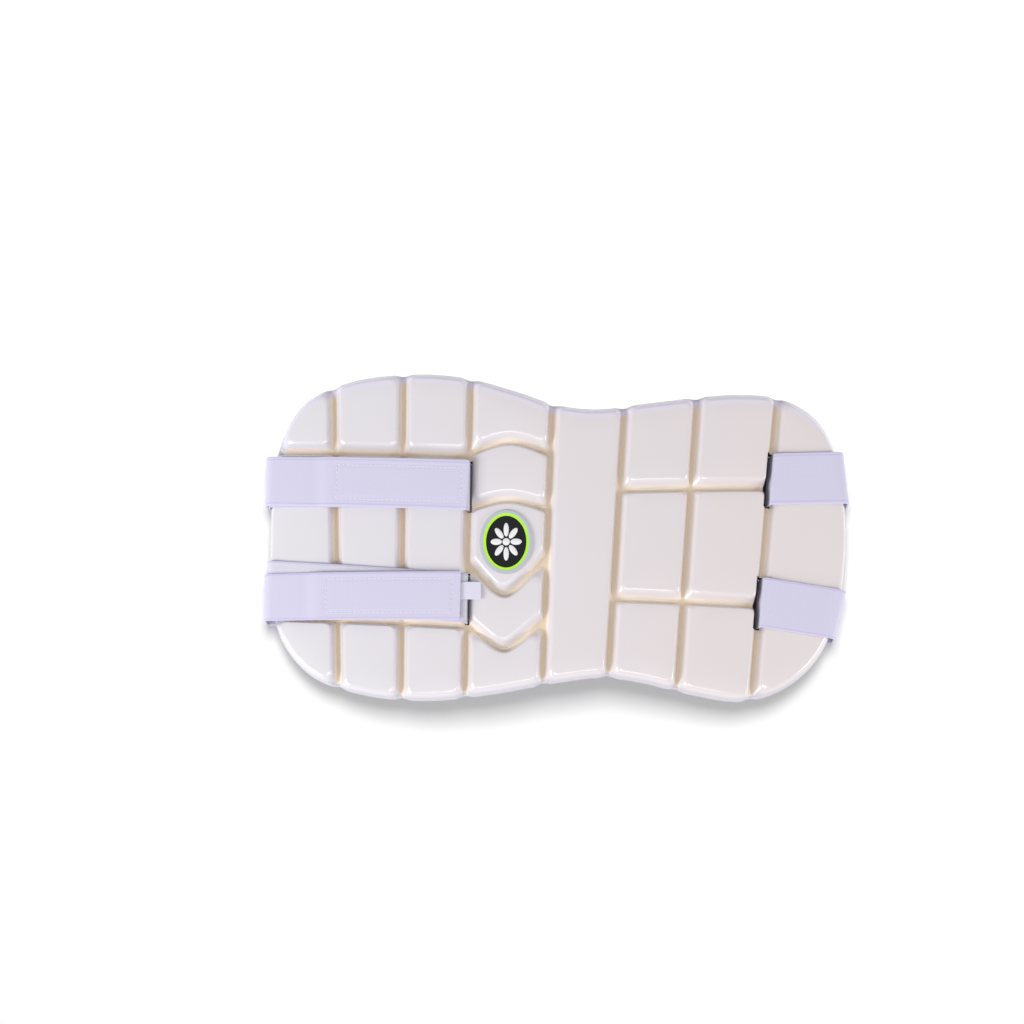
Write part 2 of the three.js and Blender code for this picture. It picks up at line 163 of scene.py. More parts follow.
def new_material(name: str, **constants: object) -> tuple[bpy.types.Material, bpy.types.Node]:
    """Starts a material whose only shader so far is a principled one.

    Args:
        name: the material's name.
        **constants: values of the shader's sockets that are the same all over, with _ for each space.

    Returns:
        The material and its shader.
    """
    material = bpy.data.materials.new(name)
    material.use_nodes = True
    material.node_tree.nodes.clear()
    sockets = {key.replace("_", " "): value for key, value in constants.items()}
    shader = add_node(material.node_tree, "ShaderNodeBsdfPrincipled", sockets)
    add_node(material.node_tree, "ShaderNodeOutputMaterial", links={"Surface": shader.outputs["BSDF"]})
    return material, shader


def new_object(name: str, mesh: bpy.types.Mesh) -> bpy.types.Object:
    """Links a new object for a mesh into the scene.

    Args:
        name: the piece's name.
        mesh: its mesh, in place.

    Returns:
        The object, at the origin.
    """
    piece = bpy.data.objects.new(name, mesh)
    bpy.context.scene.collection.objects.link(piece)
    return piece


def to_object(name: str, bm: bmesh.types.BMesh) -> bpy.types.Object:
    """Makes a smooth-shaded object of a bmesh, which is freed.

    Args:
        name: the piece's name.
        bm: the shape, in place and in metres.

    Returns:
        The object, at the origin.
    """
    mesh = bpy.data.meshes.new(name)
    bm.to_mesh(mesh)
    bm.free()
    mesh.shade_smooth()
    return new_object(name, mesh)


def ride(piece: bpy.types.Object, slot: str, *nodes: str) -> None:
    """Sets a finished piece on the guard.

    Args:
        piece: the piece.
        slot: a material slot of the record; not used.
        *nodes: the solids that it stands for.
    """
    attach(piece, BODY)
    if nodes:
        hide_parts(*nodes)


def colour_ends(first: str, second: str) -> dict[str | int, object]:
    """Socket values of a mix node that goes from one colour to another."""
    return {MixInput.FIRST_COLOUR: linear(first), MixInput.SECOND_COLOUR: linear(second)}


def weave_scale(spacing: float) -> float:
    """Scale of a wave texture whose bands are a spacing apart, in millimetres."""
    return WAVE_PERIOD / (spacing * MM)


def lay(
    shader: bpy.types.Node, colour: bpy.types.NodeSocket, pattern: bpy.types.NodeSocket,
    strength: float, height: float, is_sunk: bool = False,
) -> None:
    """Gives a shader its colour, and a relief that follows a pattern.

    Args:
        shader: the shader.
        colour: its colour.
        pattern: the pattern.
        strength: how much the relief shows, from 0 to 1.
        height: height of the relief in millimetres.
        is_sunk: whether the relief is low where the pattern is high.
    """
    tree = shader.id_data
    relief = add_node(
        tree, "ShaderNodeBump", {"Strength": strength, "Distance": height * MM}, {"Height": pattern},
        invert=is_sunk)
    tree.links.new(colour, shader.inputs["Base Color"])
    tree.links.new(relief.outputs["Normal"], shader.inputs["Normal"])


def lay_selvedge(
    under: bpy.types.NodeSocket, colour: str, selvedge: Selvedge, line: float, half_width: float = 0.0,
) -> bpy.types.NodeSocket:
    """Lays a selvedge over a band's colour, along both its edges.

    Args:
        under: the band's colour.
        colour: the selvedge's colour.
        selvedge: what the selvedge is.
        line: its distance from the band's middle in millimetres.
        half_width: half the width of a stripe.

    Returns:
        The laid colour.
    """
    tree = under.id_data
    place = add_node(tree, "ShaderNodeUVMap", uv_map=BAND_MAP)
    parts = add_node(tree, "ShaderNodeSeparateXYZ", links={"Vector": place.outputs["UV"]})
    across = add_node(tree, "ShaderNodeMath", links={0: parts.outputs["Y"]}, operation="ABSOLUTE")
    edge = add_node(
        tree, "ShaderNodeMath", {1: line * MM, 2: half_width * MM}, {0: across.outputs["Value"]},
        operation=selvedge.value)
    laid = add_node(
        tree, "ShaderNodeMix", {MixInput.SECOND_COLOUR: linear(colour)},
        {MixInput.SHARE: edge.outputs["Value"], MixInput.FIRST_COLOUR: under}, data_type="RGBA")
    return laid.outputs[MixOutput.COLOUR]


@dataclass(frozen=True)
class MouldedSkin:
    """Pearl-pigmented polyurethane skin, moulded over a foamed core.

    It gives a satin gloss with bright highlights on the rounded edges and a pearl tint that turns from
    lilac to pink across the chest. Its other tints are painted light: the grooves get painted shade, cream
    and then tan, for light bouncing between their walls and shade deep in them, the rim gets a painted
    lilac shade and the upper edge a painted lilac sheen. A tint's depths are where it starts and where it
    covers.
    """

    lilac: str = "#dcd9df"
    pink: str = "#dfd6d7"
    # Painted shade in the grooves: cream partway down their walls, tan at their bottoms
    cream: str = "#f1e6db"
    groove_shade_cream_depths: tuple[float, float] = (0.35, 0.85)
    tan: str = "#e9d5bd"
    groove_shade_tan_depths: tuple[float, float] = (0.9, 1.0)
    # Painted lilac sheen along the upper edge
    sheen: str = "#e2dcec"
    painted_sheen_depths: tuple[float, float] = (0.0, 0.7)
    # Painted lilac shade round the rim
    rim: str = "#c9c5d0"
    rim_shade_depths: tuple[float, float] = (0.1, 0.7)
    turn_width: float = 300.0
    cloud_size: float = 70.0
    peel_size: float = 2.2
    peel_height: float = 0.02
    peel_strength: float = 0.3
    least_roughness: float = 0.17
    most_roughness: float = 0.25

    def material(self) -> bpy.types.Material:
        """Makes the material.

        Returns:
            The material.
        """
        material, shader = new_material(
            "moulded_polyurethane_skin", IOR=1.5, Coat_Weight=0.5, Coat_Roughness=0.12)
        tree = material.node_tree
        place = add_node(tree, "ShaderNodeTexCoord").outputs["Object"]
        cloud = add_node(
            tree, "ShaderNodeTexNoise", {"Scale": 1 / (self.cloud_size * MM), "Detail": 2.0},
            {"Vector": place})
        across = add_node(tree, "ShaderNodeSeparateXYZ", links={"Vector": place})
        turned = add_node(
            tree, "ShaderNodeMath", {1: 1 / (self.turn_width * MM)},
            {0: across.outputs["X"], 2: cloud.outputs["Fac"]}, operation="MULTIPLY_ADD", use_clamp=True)
        pearl = add_node(
            tree, "ShaderNodeMix", colour_ends(self.lilac, self.pink),
            {MixInput.SHARE: turned.outputs["Value"]}, data_type="RGBA")
        colour = pearl.outputs[MixOutput.COLOUR]
        # Painted shade in the grooves and round the rim, and painted sheen along the upper edge
        for attribute, depths, tint in (
            ("groove", self.groove_shade_cream_depths, self.cream),
            ("groove", self.groove_shade_tan_depths, self.tan),
            ("painted_sheen_share", self.painted_sheen_depths, self.sheen),
            ("rim", self.rim_shade_depths, self.rim),
        ):
            colour = self._tint(tree, attribute, depths, tint, colour)
        grain = add_node(
            tree, "ShaderNodeTexNoise", {"Scale": 1 / (self.peel_size * MM), "Detail": 3.0},
            {"Vector": place})
        gloss = add_node(
            tree, "ShaderNodeMapRange", {"To Min": self.least_roughness, "To Max": self.most_roughness},
            {"Value": grain.outputs["Fac"]})
        tree.links.new(gloss.outputs["Result"], shader.inputs["Roughness"])
        lay(shader, colour, grain.outputs["Fac"], self.peel_strength, self.peel_height)
        return material

    @staticmethod
    def _tint(
        tree: bpy.types.NodeTree, attribute: str, depths: tuple[float, float], colour: str,
        under: bpy.types.NodeSocket,
    ) -> bpy.types.NodeSocket:
        """Lays a colour over another where an attribute of the pad is high.

        Args:
            tree: the material's node tree.
            attribute: the attribute.
            depths: the attribute's values where the colour starts, and where it covers.
            colour: the colour.
            under: the colour under it.

        Returns:
            The laid colour.
        """
        depth = add_node(tree, "ShaderNodeAttribute", attribute_name=attribute)
        share = add_node(
            tree, "ShaderNodeMapRange", {"From Min": depths[0], "From Max": depths[1]},
            {"Value": depth.outputs["Fac"]}, interpolation_type="SMOOTHSTEP")
        laid = add_node(
            tree, "ShaderNodeMix", {MixInput.SECOND_COLOUR: linear(colour)},
            {MixInput.SHARE: share.outputs["Result"], MixInput.FIRST_COLOUR: under}, data_type="RGBA")
        return laid.outputs[MixOutput.COLOUR]


@dataclass(frozen=True)
class SlotShadeFinish:
    """Dark matt finish with fine pores, painted on the slots' walls as the shade deep inside the slots."""

    light: str = "#4a4145"
    dark: str = "#2c2629"
    pore_size: float = 0.9
    pore_depth: float = 0.2
    pore_strength: float = 0.6

    def material(self) -> bpy.types.Material:
        """Makes the material.

        Returns:
            The material.
        """
        material, shader = new_material("slot_painted_shade", Roughness=0.9, Specular_IOR_Level=0.2)
        tree = material.node_tree
        place = add_node(tree, "ShaderNodeTexCoord").outputs["Object"]
        pores = add_node(
            tree, "ShaderNodeTexVoronoi", {"Scale": 1 / (self.pore_size * MM)}, {"Vector": place})
        colour = add_node(
            tree, "ShaderNodeMix", colour_ends(self.dark, self.light),
            {MixInput.SHARE: pores.outputs["Distance"]}, data_type="RGBA")
        lay(
            shader, colour.outputs[MixOutput.COLOUR], pores.outputs["Distance"],
            self.pore_strength, self.pore_depth)
        return material


@dataclass(frozen=True)
class Elastic:
    """Knitted polyester over rubber threads.

    It gives a soft matt lilac white with fine ribs along the band, fainter rows across it, and a plain
    selvedge line along both edges. The ribs are drawn coarser than the real ones, so that they show.
    """

    light: str = "#d0cde2"
    dark: str = "#cac7de"
    selvedge: str = "#c1bbdf"
    rib_spacing: float = 1.4
    row_spacing: float = 2.3
    row_share: float = 0.25
    rib_height: float = 0.1
    rib_strength: float = 0.4
    half_width: float = 16.0
    selvedge_inset: float = 1.1
    selvedge_half_width: float = 0.35

    def material(self) -> bpy.types.Material:
        """Makes the material.

        Returns:
            The material.
        """
        material, shader = new_material(
            "knitted_elastic", Roughness=0.85, Sheen_Weight=0.25, Sheen_Roughness=0.5,
            Specular_IOR_Level=0.3)
        tree = material.node_tree
        place = add_node(tree, "ShaderNodeUVMap", uv_map=BAND_MAP).outputs["UV"]
        ribs = add_node(
            tree, "ShaderNodeTexWave",
            {"Scale": weave_scale(self.rib_spacing), "Distortion": 0.6, "Detail": 2.0},
            {"Vector": place}, bands_direction="Y")
        rows = add_node(
            tree, "ShaderNodeTexWave",
            {"Scale": weave_scale(self.row_spacing), "Distortion": 0.8, "Detail": 2.0},
            {"Vector": place}, bands_direction="X")
        mixed = add_node(
            tree, "ShaderNodeMix", {MixInput.SHARE: self.row_share},
            {MixInput.FIRST_VALUE: ribs.outputs["Fac"], MixInput.SECOND_VALUE: rows.outputs["Fac"]},
            data_type="FLOAT")
        knit = mixed.outputs[MixOutput.VALUE]
        colour = add_node(
            tree, "ShaderNodeMix", colour_ends(self.dark, self.light), {MixInput.SHARE: knit},
            data_type="RGBA")
        banded = lay_selvedge(
            colour.outputs[MixOutput.COLOUR], self.selvedge, Selvedge.STRIPE,
            self.half_width - self.selvedge_inset, self.selvedge_half_width)
        lay(shader, banded, knit, self.rib_strength, self.rib_height)
        return material


@dataclass(frozen=True)
class LoopPile:
    """Brushed nylon loops on a woven tape: a soft white nap of fine curls."""

    light: str = "#e0dfe8"
    dark: str = "#c9c7d6"
    selvedge: str = "#c8c4e0"
    curl_size: float = 0.9
    curl_height: float = 0.4
    curl_strength: float = 0.8
    half_width: float = 16.0
    selvedge_width: float = 1.4

    def material(self) -> bpy.types.Material:
        """Makes the material.

        Returns:
            The material.
        """
        material, shader = new_material(
            "brushed_nylon_loops", Roughness=0.95, Sheen_Weight=0.5, Sheen_Roughness=0.4,
            Specular_IOR_Level=0.2)
        tree = material.node_tree
        place = add_node(tree, "ShaderNodeTexCoord").outputs["Object"]
        curls = add_node(
            tree, "ShaderNodeTexNoise",
            {"Scale": 1 / (self.curl_size * MM), "Detail": 4.0, "Distortion": 1.5}, {"Vector": place})
        colour = add_node(
            tree, "ShaderNodeMix", colour_ends(self.dark, self.light),
            {MixInput.SHARE: curls.outputs["Fac"]}, data_type="RGBA")
        edged = lay_selvedge(
            colour.outputs[MixOutput.COLOUR], self.selvedge, Selvedge.BORDER,
            self.half_width - self.selvedge_width)
        lay(shader, edged, curls.outputs["Fac"], self.curl_strength, self.curl_height)
        return material


@dataclass(frozen=True)
class HookTape:
    """Moulded nylon hooks on a tape: a matt white grid of small points."""

    colour: str = "#e3e2ea"
    gap_colour: str = "#bfbdca"
    hook_spacing: float = 1.5
    hook_height: float = 0.4
    hook_strength: float = 0.8

    def material(self) -> bpy.types.Material:
        """Makes the material.

        Returns:
            The material.
        """
        material, shader = new_material("nylon_hook_tape", Roughness=0.6, IOR=1.53)
        tree = material.node_tree
        place = add_node(tree, "ShaderNodeUVMap", uv_map=BAND_MAP).outputs["UV"]
        hooks = add_node(
            tree, "ShaderNodeTexVoronoi", {"Scale": 1 / (self.hook_spacing * MM), "Randomness": 0.1},
            {"Vector": place})
        colour = add_node(
            tree, "ShaderNodeMix", colour_ends(self.colour, self.gap_colour),
            {MixInput.SHARE: hooks.outputs["Distance"]}, data_type="RGBA")
        lay(
            shader, colour.outputs[MixOutput.COLOUR], hooks.outputs["Distance"],
            self.hook_strength, self.hook_height, is_sunk=True)
        return material


@dataclass(frozen=True)
class Thread:
    """Spun polyester sewing thread: matt white with a fine twist."""

    light: str = "#e4e2f0"
    dark: str = "#cac7da"
    twist: float = 0.5

    def material(self) -> bpy.types.Material:
        """Makes the material.

        Returns:
            The material.
        """
        material, shader = new_material("polyester_thread", Roughness=0.7, Sheen_Weight=0.2)
        tree = material.node_tree
        place = add_node(tree, "ShaderNodeTexCoord").outputs["Object"]
        strands = add_node(
            tree, "ShaderNodeTexWave", {"Scale": weave_scale(self.twist)}, {"Vector": place},
            bands_direction="DIAGONAL")
        colour = add_node(
            tree, "ShaderNodeMix", colour_ends(self.dark, self.light),
            {MixInput.SHARE: strands.outputs["Fac"]}, data_type="RGBA")
        tree.links.new(colour.outputs[MixOutput.COLOUR], shader.inputs["Base Color"])
        return material


@dataclass(frozen=True)
class WovenTab:
    """Fine polyester satin tape, left blank: a smooth pale weave with a slight shine."""

    light: str = "#dfddec"
    dark: str = "#cfccdf"
    thread_spacing: float = 0.7
    thread_height: float = 0.05
    thread_strength: float = 0.4

    def material(self) -> bpy.types.Material:
        """Makes the material.

        Returns:
            The material.
        """
        material, shader = new_material("woven_satin_tape", Roughness=0.5, Sheen_Weight=0.3)
        tree = material.node_tree
        place = add_node(tree, "ShaderNodeUVMap", uv_map=BAND_MAP).outputs["UV"]
        threads = add_node(
            tree, "ShaderNodeTexWave", {"Scale": weave_scale(self.thread_spacing), "Distortion": 0.4},
            {"Vector": place}, bands_direction="DIAGONAL")
        colour = add_node(
            tree, "ShaderNodeMix", colour_ends(self.dark, self.light),
            {MixInput.SHARE: threads.outputs["Fac"]}, data_type="RGBA")
        lay(
            shader, colour.outputs[MixOutput.COLOUR], threads.outputs["Fac"],
            self.thread_strength, self.thread_height)
        return material


@dataclass(frozen=True)
class BadgeRubber:
    """Moulded silicone rubber in four colours: smooth, half matt, with a fine mould grain and some dust."""

    rim: str = "#b9bcc6"
    ring: str = "#b2ee3a"
    field: str = "#0d0f12"
    rosette: str = "#e6e6e8"
    grain_size: float = 0.6
    grain_height: float = 0.03
    grain_strength: float = 0.4
    dust: str = "#9a9ba0"
    dust_share: float = 0.02
    least_roughness: float = 0.5
    most_roughness: float = 0.6

    def material(self, part: BadgeColour) -> bpy.types.Material:
        """Makes the material of one colour.

        Args:
            part: the part of the badge that has the colour.

        Returns:
            The material.
        """
        colours = {
            BadgeColour.RIM: self.rim,
            BadgeColour.RING: self.ring,
            BadgeColour.FIELD: self.field,
            BadgeColour.ROSETTE: self.rosette,
        }
        material, shader = new_material("silicone_rubber", Specular_IOR_Level=0.25)
        tree = material.node_tree
        place = add_node(tree, "ShaderNodeTexCoord").outputs["Object"]
        grain = add_node(
            tree, "ShaderNodeTexNoise", {"Scale": 1 / (self.grain_size * MM), "Detail": 2.0},
            {"Vector": place})
        share = add_node(
            tree, "ShaderNodeMapRange", {"To Max": self.dust_share}, {"Value": grain.outputs["Fac"]})
        dusty = add_node(
            tree, "ShaderNodeMix", colour_ends(colours[part], self.dust),
            {MixInput.SHARE: share.outputs["Result"]}, data_type="RGBA")
        gloss = add_node(
            tree, "ShaderNodeMapRange", {"To Min": self.least_roughness, "To Max": self.most_roughness},
            {"Value": grain.outputs["Fac"]})
        tree.links.new(gloss.outputs["Result"], shader.inputs["Roughness"])
        lay(
            shader, dusty.outputs[MixOutput.COLOUR], grain.outputs["Fac"],
            self.grain_strength, self.grain_height)
        return material


@dataclass(frozen=True)
class Arch:
    """Cylinder along Y that the pad's hollow back is part of."""

    back_radius: float = 720.0
    plan_radius: float = 730.0
    half_length: float = 190.0
    edge_height: float = 4.8
    shift: Vector = field(default_factory=lambda: Vector((0.0, 0.0, 0.0)))

    @property
    def centre(self) -> float:
        """Height of the cylinder's axis."""
        return self.edge_height - self.back_radius * math.cos(math.asin(self.half_length / self.plan_radius))

    def on_pad(self, x: float, y: float, level: float) -> Vector:
        """Place on the arched pad of a flat place.

        Args:
            x: plan place across the chest.
            y: place up the body.
            level: height over the pad's back.

        Returns:
            The bent place, in millimetres.
        """
        angle = math.asin(x / self.plan_radius)
        radius = self.back_radius + level
        return Vector((radius * math.sin(angle), y, self.centre + radius * math.cos(angle)))

    def flat(self, place: Vector) -> Vector:
        """Flat place of a place on the arched pad, the reverse of bending it there.

        Args:
            place: the place in the row frame, in metres.

        Returns:
            Its plan x, its place up the body and its level, in millimetres.
        """
        bent = place / MM - self.shift
        radius = math.hypot(bent.x, bent.z - self.centre)
        return Vector((bent.x * self.plan_radius / radius, bent.y, radius - self.back_radius))

    def plan_for(self, x: float, level: float) -> float:
        """Plan x that lands at a finished x at a level."""
        return x * self.plan_radius / (self.back_radius + level)

    def to_row(self, place: Vector) -> Vector:
        """Bent place in millimetres as a place in the row frame, in metres."""
        return (place + self.shift) * MM

    def bend(self, bm: bmesh.types.BMesh) -> None:
        """Bends a flat shape onto the pad, in the row frame.

        Args:
            bm: the shape, whose z is the level.
        """
        for vert in bm.verts:
            vert.co = self.to_row(self.on_pad(*vert.co))


@dataclass(frozen=True)
class Groove:
    """Groove up the body: a straight line, given by its x at two heights."""

    top: float
    bottom: float
    height: float = 100.0

    @property
    def lean(self) -> float:
        """Angle of the line from Y."""
        return math.atan2(self.top - self.bottom, 2 * self.height)

    @property
    def across(self) -> Vector:
        """Direction square to the line, towards +X."""
        return Vector((math.cos(self.lean), -math.sin(self.lean), 0.0))

    def x_at(self, y: float) -> float:
        """Plan x of the line at a height on the body."""
        return self.bottom + (y + self.height) * (self.top - self.bottom) / (2 * self.height)


@dataclass(frozen=True)
class Row:
    """Groove across the chest: straight between two ends, or softly pointed halfway along it.

    A row with no tip is straight. Softness is how round the point is: 0 is sharp.
    """

    left: tuple[float, float]
    right: tuple[float, float]
    tip: float | None = None
    softness: float = 0.0
    slope_step: float = 0.5

    def height_at(self, x: float) -> float:
        """Height on the body of the groove's middle line.

        Args:
            x: plan place.

        Returns:
            The height.
        """
        (left_x, left_y), (right_x, right_y) = self.left, self.right
        if self.tip is None:
            return left_y + (x - left_x) * (right_y - left_y) / (right_x - left_x)
        share = (2 * x - left_x - right_x) / (right_x - left_x)
        reach = math.hypot(share, self.softness) - self.softness
        return self.tip + (left_y - self.tip) * reach / (math.hypot(1, self.softness) - self.softness)

    def edge_at(self, x: float, side: Side, half_floor: float) -> float:
        """Height of the edge of the groove's floor.

        Args:
            x: plan place.
            side: the side of the groove that the edge is on.
            half_floor: half the floor's width, square to the groove.

        Returns:
            The edge's height on the body.
        """
        rise = self.height_at(x + self.slope_step) - self.height_at(x - self.slope_step)
        return self.height_at(x) + side.value * half_floor * math.hypot(1, rise / (2 * self.slope_step))


def nearest_on_edge(place: Vector, start: Vector, end: Vector) -> Vector:
    """Place on a straight edge that is nearest to another place.

    Args:
        place: the other place.
        start: one end of the edge.
        end: its other end.

    Returns:
        The nearest place.
    """
    _, share = geometry.intersect_point_line(place, start, end)
    return start.lerp(end, min(max(share, 0.0), 1.0))


class PlanFace:
    """Flat face that is cut down from the pad's outline to the outline of one block."""

    touch = 1e-3

    def __init__(self, points: Sequence[Vector]) -> None:
        """Starts from an outline.

        Args:
            points: the outline's places, anticlockwise.
        """
        self.bm = bmesh.new()
        self.bm.faces.new([self.bm.verts.new(point) for point in points])

    def cut(self, place: Vector, outward: Vector) -> None:
        """Cuts off what lies outside a straight line.

        Args:
            place: a place on the line.
            outward: the direction square to the line of what is cut off.
        """
        everything = self.bm.verts[:] + self.bm.edges[:] + self.bm.faces[:]
        bmesh.ops.bisect_plane(
            self.bm, geom=everything, dist=self.touch, plane_co=place, plane_no=outward, clear_outer=True)

    def bow(self, place: Vector, outward: Vector, height_at: Callable[[float], float], step: float) -> None:
        """Turns the straight edge that a cut left into a curve.

        Args:
            place: a place on the cut's line.
            outward: the direction square to it.
            height_at: the curve's height at a plan x.
            step: spacing of the curve's places.
        """
        def is_on_line(vert: bmesh.types.BMVert) -> bool:
            """Whether a vertex lies on the cut."""
            return abs((vert.co - place).dot(outward)) < 2 * self.touch

        chord = next(edge for edge in self.bm.edges if all(is_on_line(vert) for vert in edge.verts))
        cuts = math.ceil(chord.calc_length() / step)
        made = bmesh.ops.subdivide_edges(self.bm, edges=[chord], cuts=cuts)
        for vert in made["geom_inner"]:
            if isinstance(vert, bmesh.types.BMVert):
                vert.co.y = height_at(vert.co.x)

    def ring(self) -> list[Vector]:
        """Ends the cutting; the face is freed.

        Returns:
            The outline's places, anticlockwise.
        """
        places = [loop.vert.co.copy() for loop in self.bm.faces[:][0].loops]
        self.bm.free()
        return places


class BlockOutline:
    """Outline of a block: arcs round its sharp outward corners, and the sides between them."""

    corner_turn = math.pi / 5
    crowd = 0.6

    def __init__(self, ring: Sequence[Vector], radius: float, steps: int) -> None:
        """Rounds the corners of an outline.

        Args:
            ring: the outline's places, anticlockwise.
            radius: radius of its corners.
            steps: how many edges a corner has.
        """
        turns = [self._turn(ring[i - 1], here, ring[(i + 1) % len(ring)]) for i, here in enumerate(ring)]
        reaches = {
            i: radius * math.tan(turn / 2) + self.crowd
            for i, turn in enumerate(turns)
            if turn > self.corner_turn
        }
        first = min(reaches)
        order = [*range(first, len(ring)), *range(first)]
        kept = [
            i
            for i in order
            if i in reaches or all((ring[i] - ring[j]).length > reach for j, reach in reaches.items())
        ]
        self.arcs: list[list[Vector]] = []
        self.sides: list[list[Vector]] = []
        for before, i, after in zip(kept[-1:] + kept[:-1], kept, kept[1:] + kept[:1]):
            if i in reaches:
                self.arcs.append(self._arc(ring[before], ring[i], ring[after], radius, steps))
                self.sides.append([])
            else:
                self.sides[-1].append(ring[i])
        for i, side in enumerate(self.sides):
            side.insert(0, self.arcs[i][-1])
            side.append(self.arcs[(i + 1) % len(self.arcs)][0])

    def turn_to(self, other: "BlockOutline") -> None:
        """Starts the outline at the corner nearest to the first corner of another.

        Args:
            other: the other outline.
        """
        near = min(range(len(self.arcs)), key=lambda i: (self.arcs[i][0] - other.arcs[0][0]).length)
        self.arcs = self.arcs[near:] + self.arcs[:near]
        self.sides = self.sides[near:] + self.sides[:near]

    def counts(self, spacing: float) -> list[int]:
        """How many steps each side needs.

        Args:
            spacing: the longest step.

        Returns:
            The counts.
        """
        lengths = [sum((b - a).length for a, b in zip(side, side[1:])) for side in self.sides]
        return [max(math.ceil(length / spacing), 1) for length in lengths]

    def places(self, counts: Sequence[int]) -> list[Vector]:
        """The rounded outline's places, anticlockwise.

        Args:
            counts: how many steps each side has.

        Returns:
            The places.
        """
        places = []
        for arc, side, count in zip(self.arcs, self.sides, counts):
            places += arc + self._steps(side, count)
        return places

    @staticmethod
    def _steps(path: Sequence[Vector], count: int) -> list[Vector]:
        """Places at equal steps along a path, without its ends.

        Args:
            path: the path's places.
            count: how many steps it has.

        Returns:
            The places between the steps.
        """
        lengths = [(b - a).length for a, b in zip(path, path[1:])]
        places = []
        for i in range(1, count):
            left, part = sum(lengths) * i / count, 0
            while left > lengths[part]:
                left -= lengths[part]
                part += 1
            places.append(path[part].lerp(path[part + 1], left / lengths[part]))
        return places

    @staticmethod
    def _turn(before: Vector, here: Vector, after: Vector) -> float:
        """Angle that an outline turns by at a place, more than nothing where it turns left.

        Args:
            before: the place before.
            here: the place.
            after: the place after.

        Returns:
            The angle.
        """
        return (after - here).to_2d().angle_signed((here - before).to_2d())

    @classmethod
    def _arc(cls, before: Vector, here: Vector, after: Vector, radius: float, steps: int) -> list[Vector]:
        """Arc that rounds a corner.

        Args:
            before: a place on the edge up to the corner.
            here: the corner.
            after: a place on the edge from it on.
            radius: radius of the arc.
            steps: how many edges it has.

        Returns:
            The arc's places.
        """
        turn = cls._turn(before, here, after)
        back = (before - here).normalized()
        start = here + back * radius * math.tan(turn / 2)
        centre = start + back.cross(UP) * radius
        spoke = start - centre
        return [centre + Matrix.Rotation(turn * i / steps, 3, "Z") @ spoke for i in range(steps + 1)]


class Rim:
    """Outer edge of the pad, to find the nearest place on it."""

    def __init__(self, points: Sequence[Vector]) -> None:
        """Starts from the edge's places.

        Args:
            points: the places in order, at level 0.
        """
        self.points = points
        self.tree = kdtree.KDTree(len(points))
        for i, point in enumerate(points):
            self.tree.insert(point, i)
        self.tree.balance()

    def nearest(self, place: Vector) -> tuple[Vector, Vector]:
        """Place on the edge nearest to a flat place.

        Args:
            place: the flat place.

        Returns:
            The place on the edge, at level 0, and the direction inwards there.
        """
        flat = Vector((place.x, place.y, 0.0))
        _, i, _ = self.tree.find(flat)
        before, here, after = self.points[i - 1], self.points[i], self.points[(i + 1) % len(self.points)]
        parts = ((before, here), (here, after))
        start, end = min(parts, key=lambda part: (nearest_on_edge(flat, *part) - flat).length)
        return nearest_on_edge(flat, start, end), UP.cross((end - start).normalized())


@dataclass(frozen=True)
class Slot:
    """Slot through a groove of the pad, wide in front and only as wide as its band at the back."""

    groove: Groove
    y: float
    length: float
    width: float
    shift: float
    band_side: float
    band_room: float = 2.0
    depth: float = 60.0
    middle_level: float = 7.0
    shelf_level: float = 2.2

    def cutter(self, arch: Arch) -> bpy.types.Object:
        """Makes the shape that the slot is cut with.

        Args:
            arch: the pad's arch.

        Returns:
            The cutter, in the row frame.
        """
        half, top, shelf = self.width / 2, self.depth / 2, self.shelf_level - self.middle_level
        inner = half - self.band_room
        profile = ((-half, top), (half, top), (half, -top), (inner, -top), (inner, shelf), (-half, shelf))
        bm = bmesh.new()
        end = bm.faces.new([bm.verts.new((self.band_side * x, -self.length / 2, z)) for x, z in profile])
        made = bmesh.ops.extrude_face_region(bm, geom=[end])["geom"]
        far = [item for item in made if isinstance(item, bmesh.types.BMVert)]
        bmesh.ops.translate(bm, vec=(0.0, self.length, 0.0), verts=far)
        bmesh.ops.recalc_face_normals(bm, faces=bm.faces[:])
        x = self.groove.x_at(self.y) + self.shift
        place = Matrix.Translation(arch.to_row(arch.on_pad(x, self.y, self.middle_level)))
        turn = Matrix.Rotation(math.asin(x / arch.plan_radius), 4, "Y")
        lean = Matrix.Rotation(-self.groove.lean, 4, "Z")
        bmesh.ops.transform(bm, matrix=place @ turn @ lean @ Matrix.Scale(MM, 4), verts=bm.verts[:])
        # The cut walls take the slots' dark finish, which is painted shade
        for face in bm.faces:
            face.material_index = PadFinish.FOAM.value
        return to_object("slot_cutter", bm)


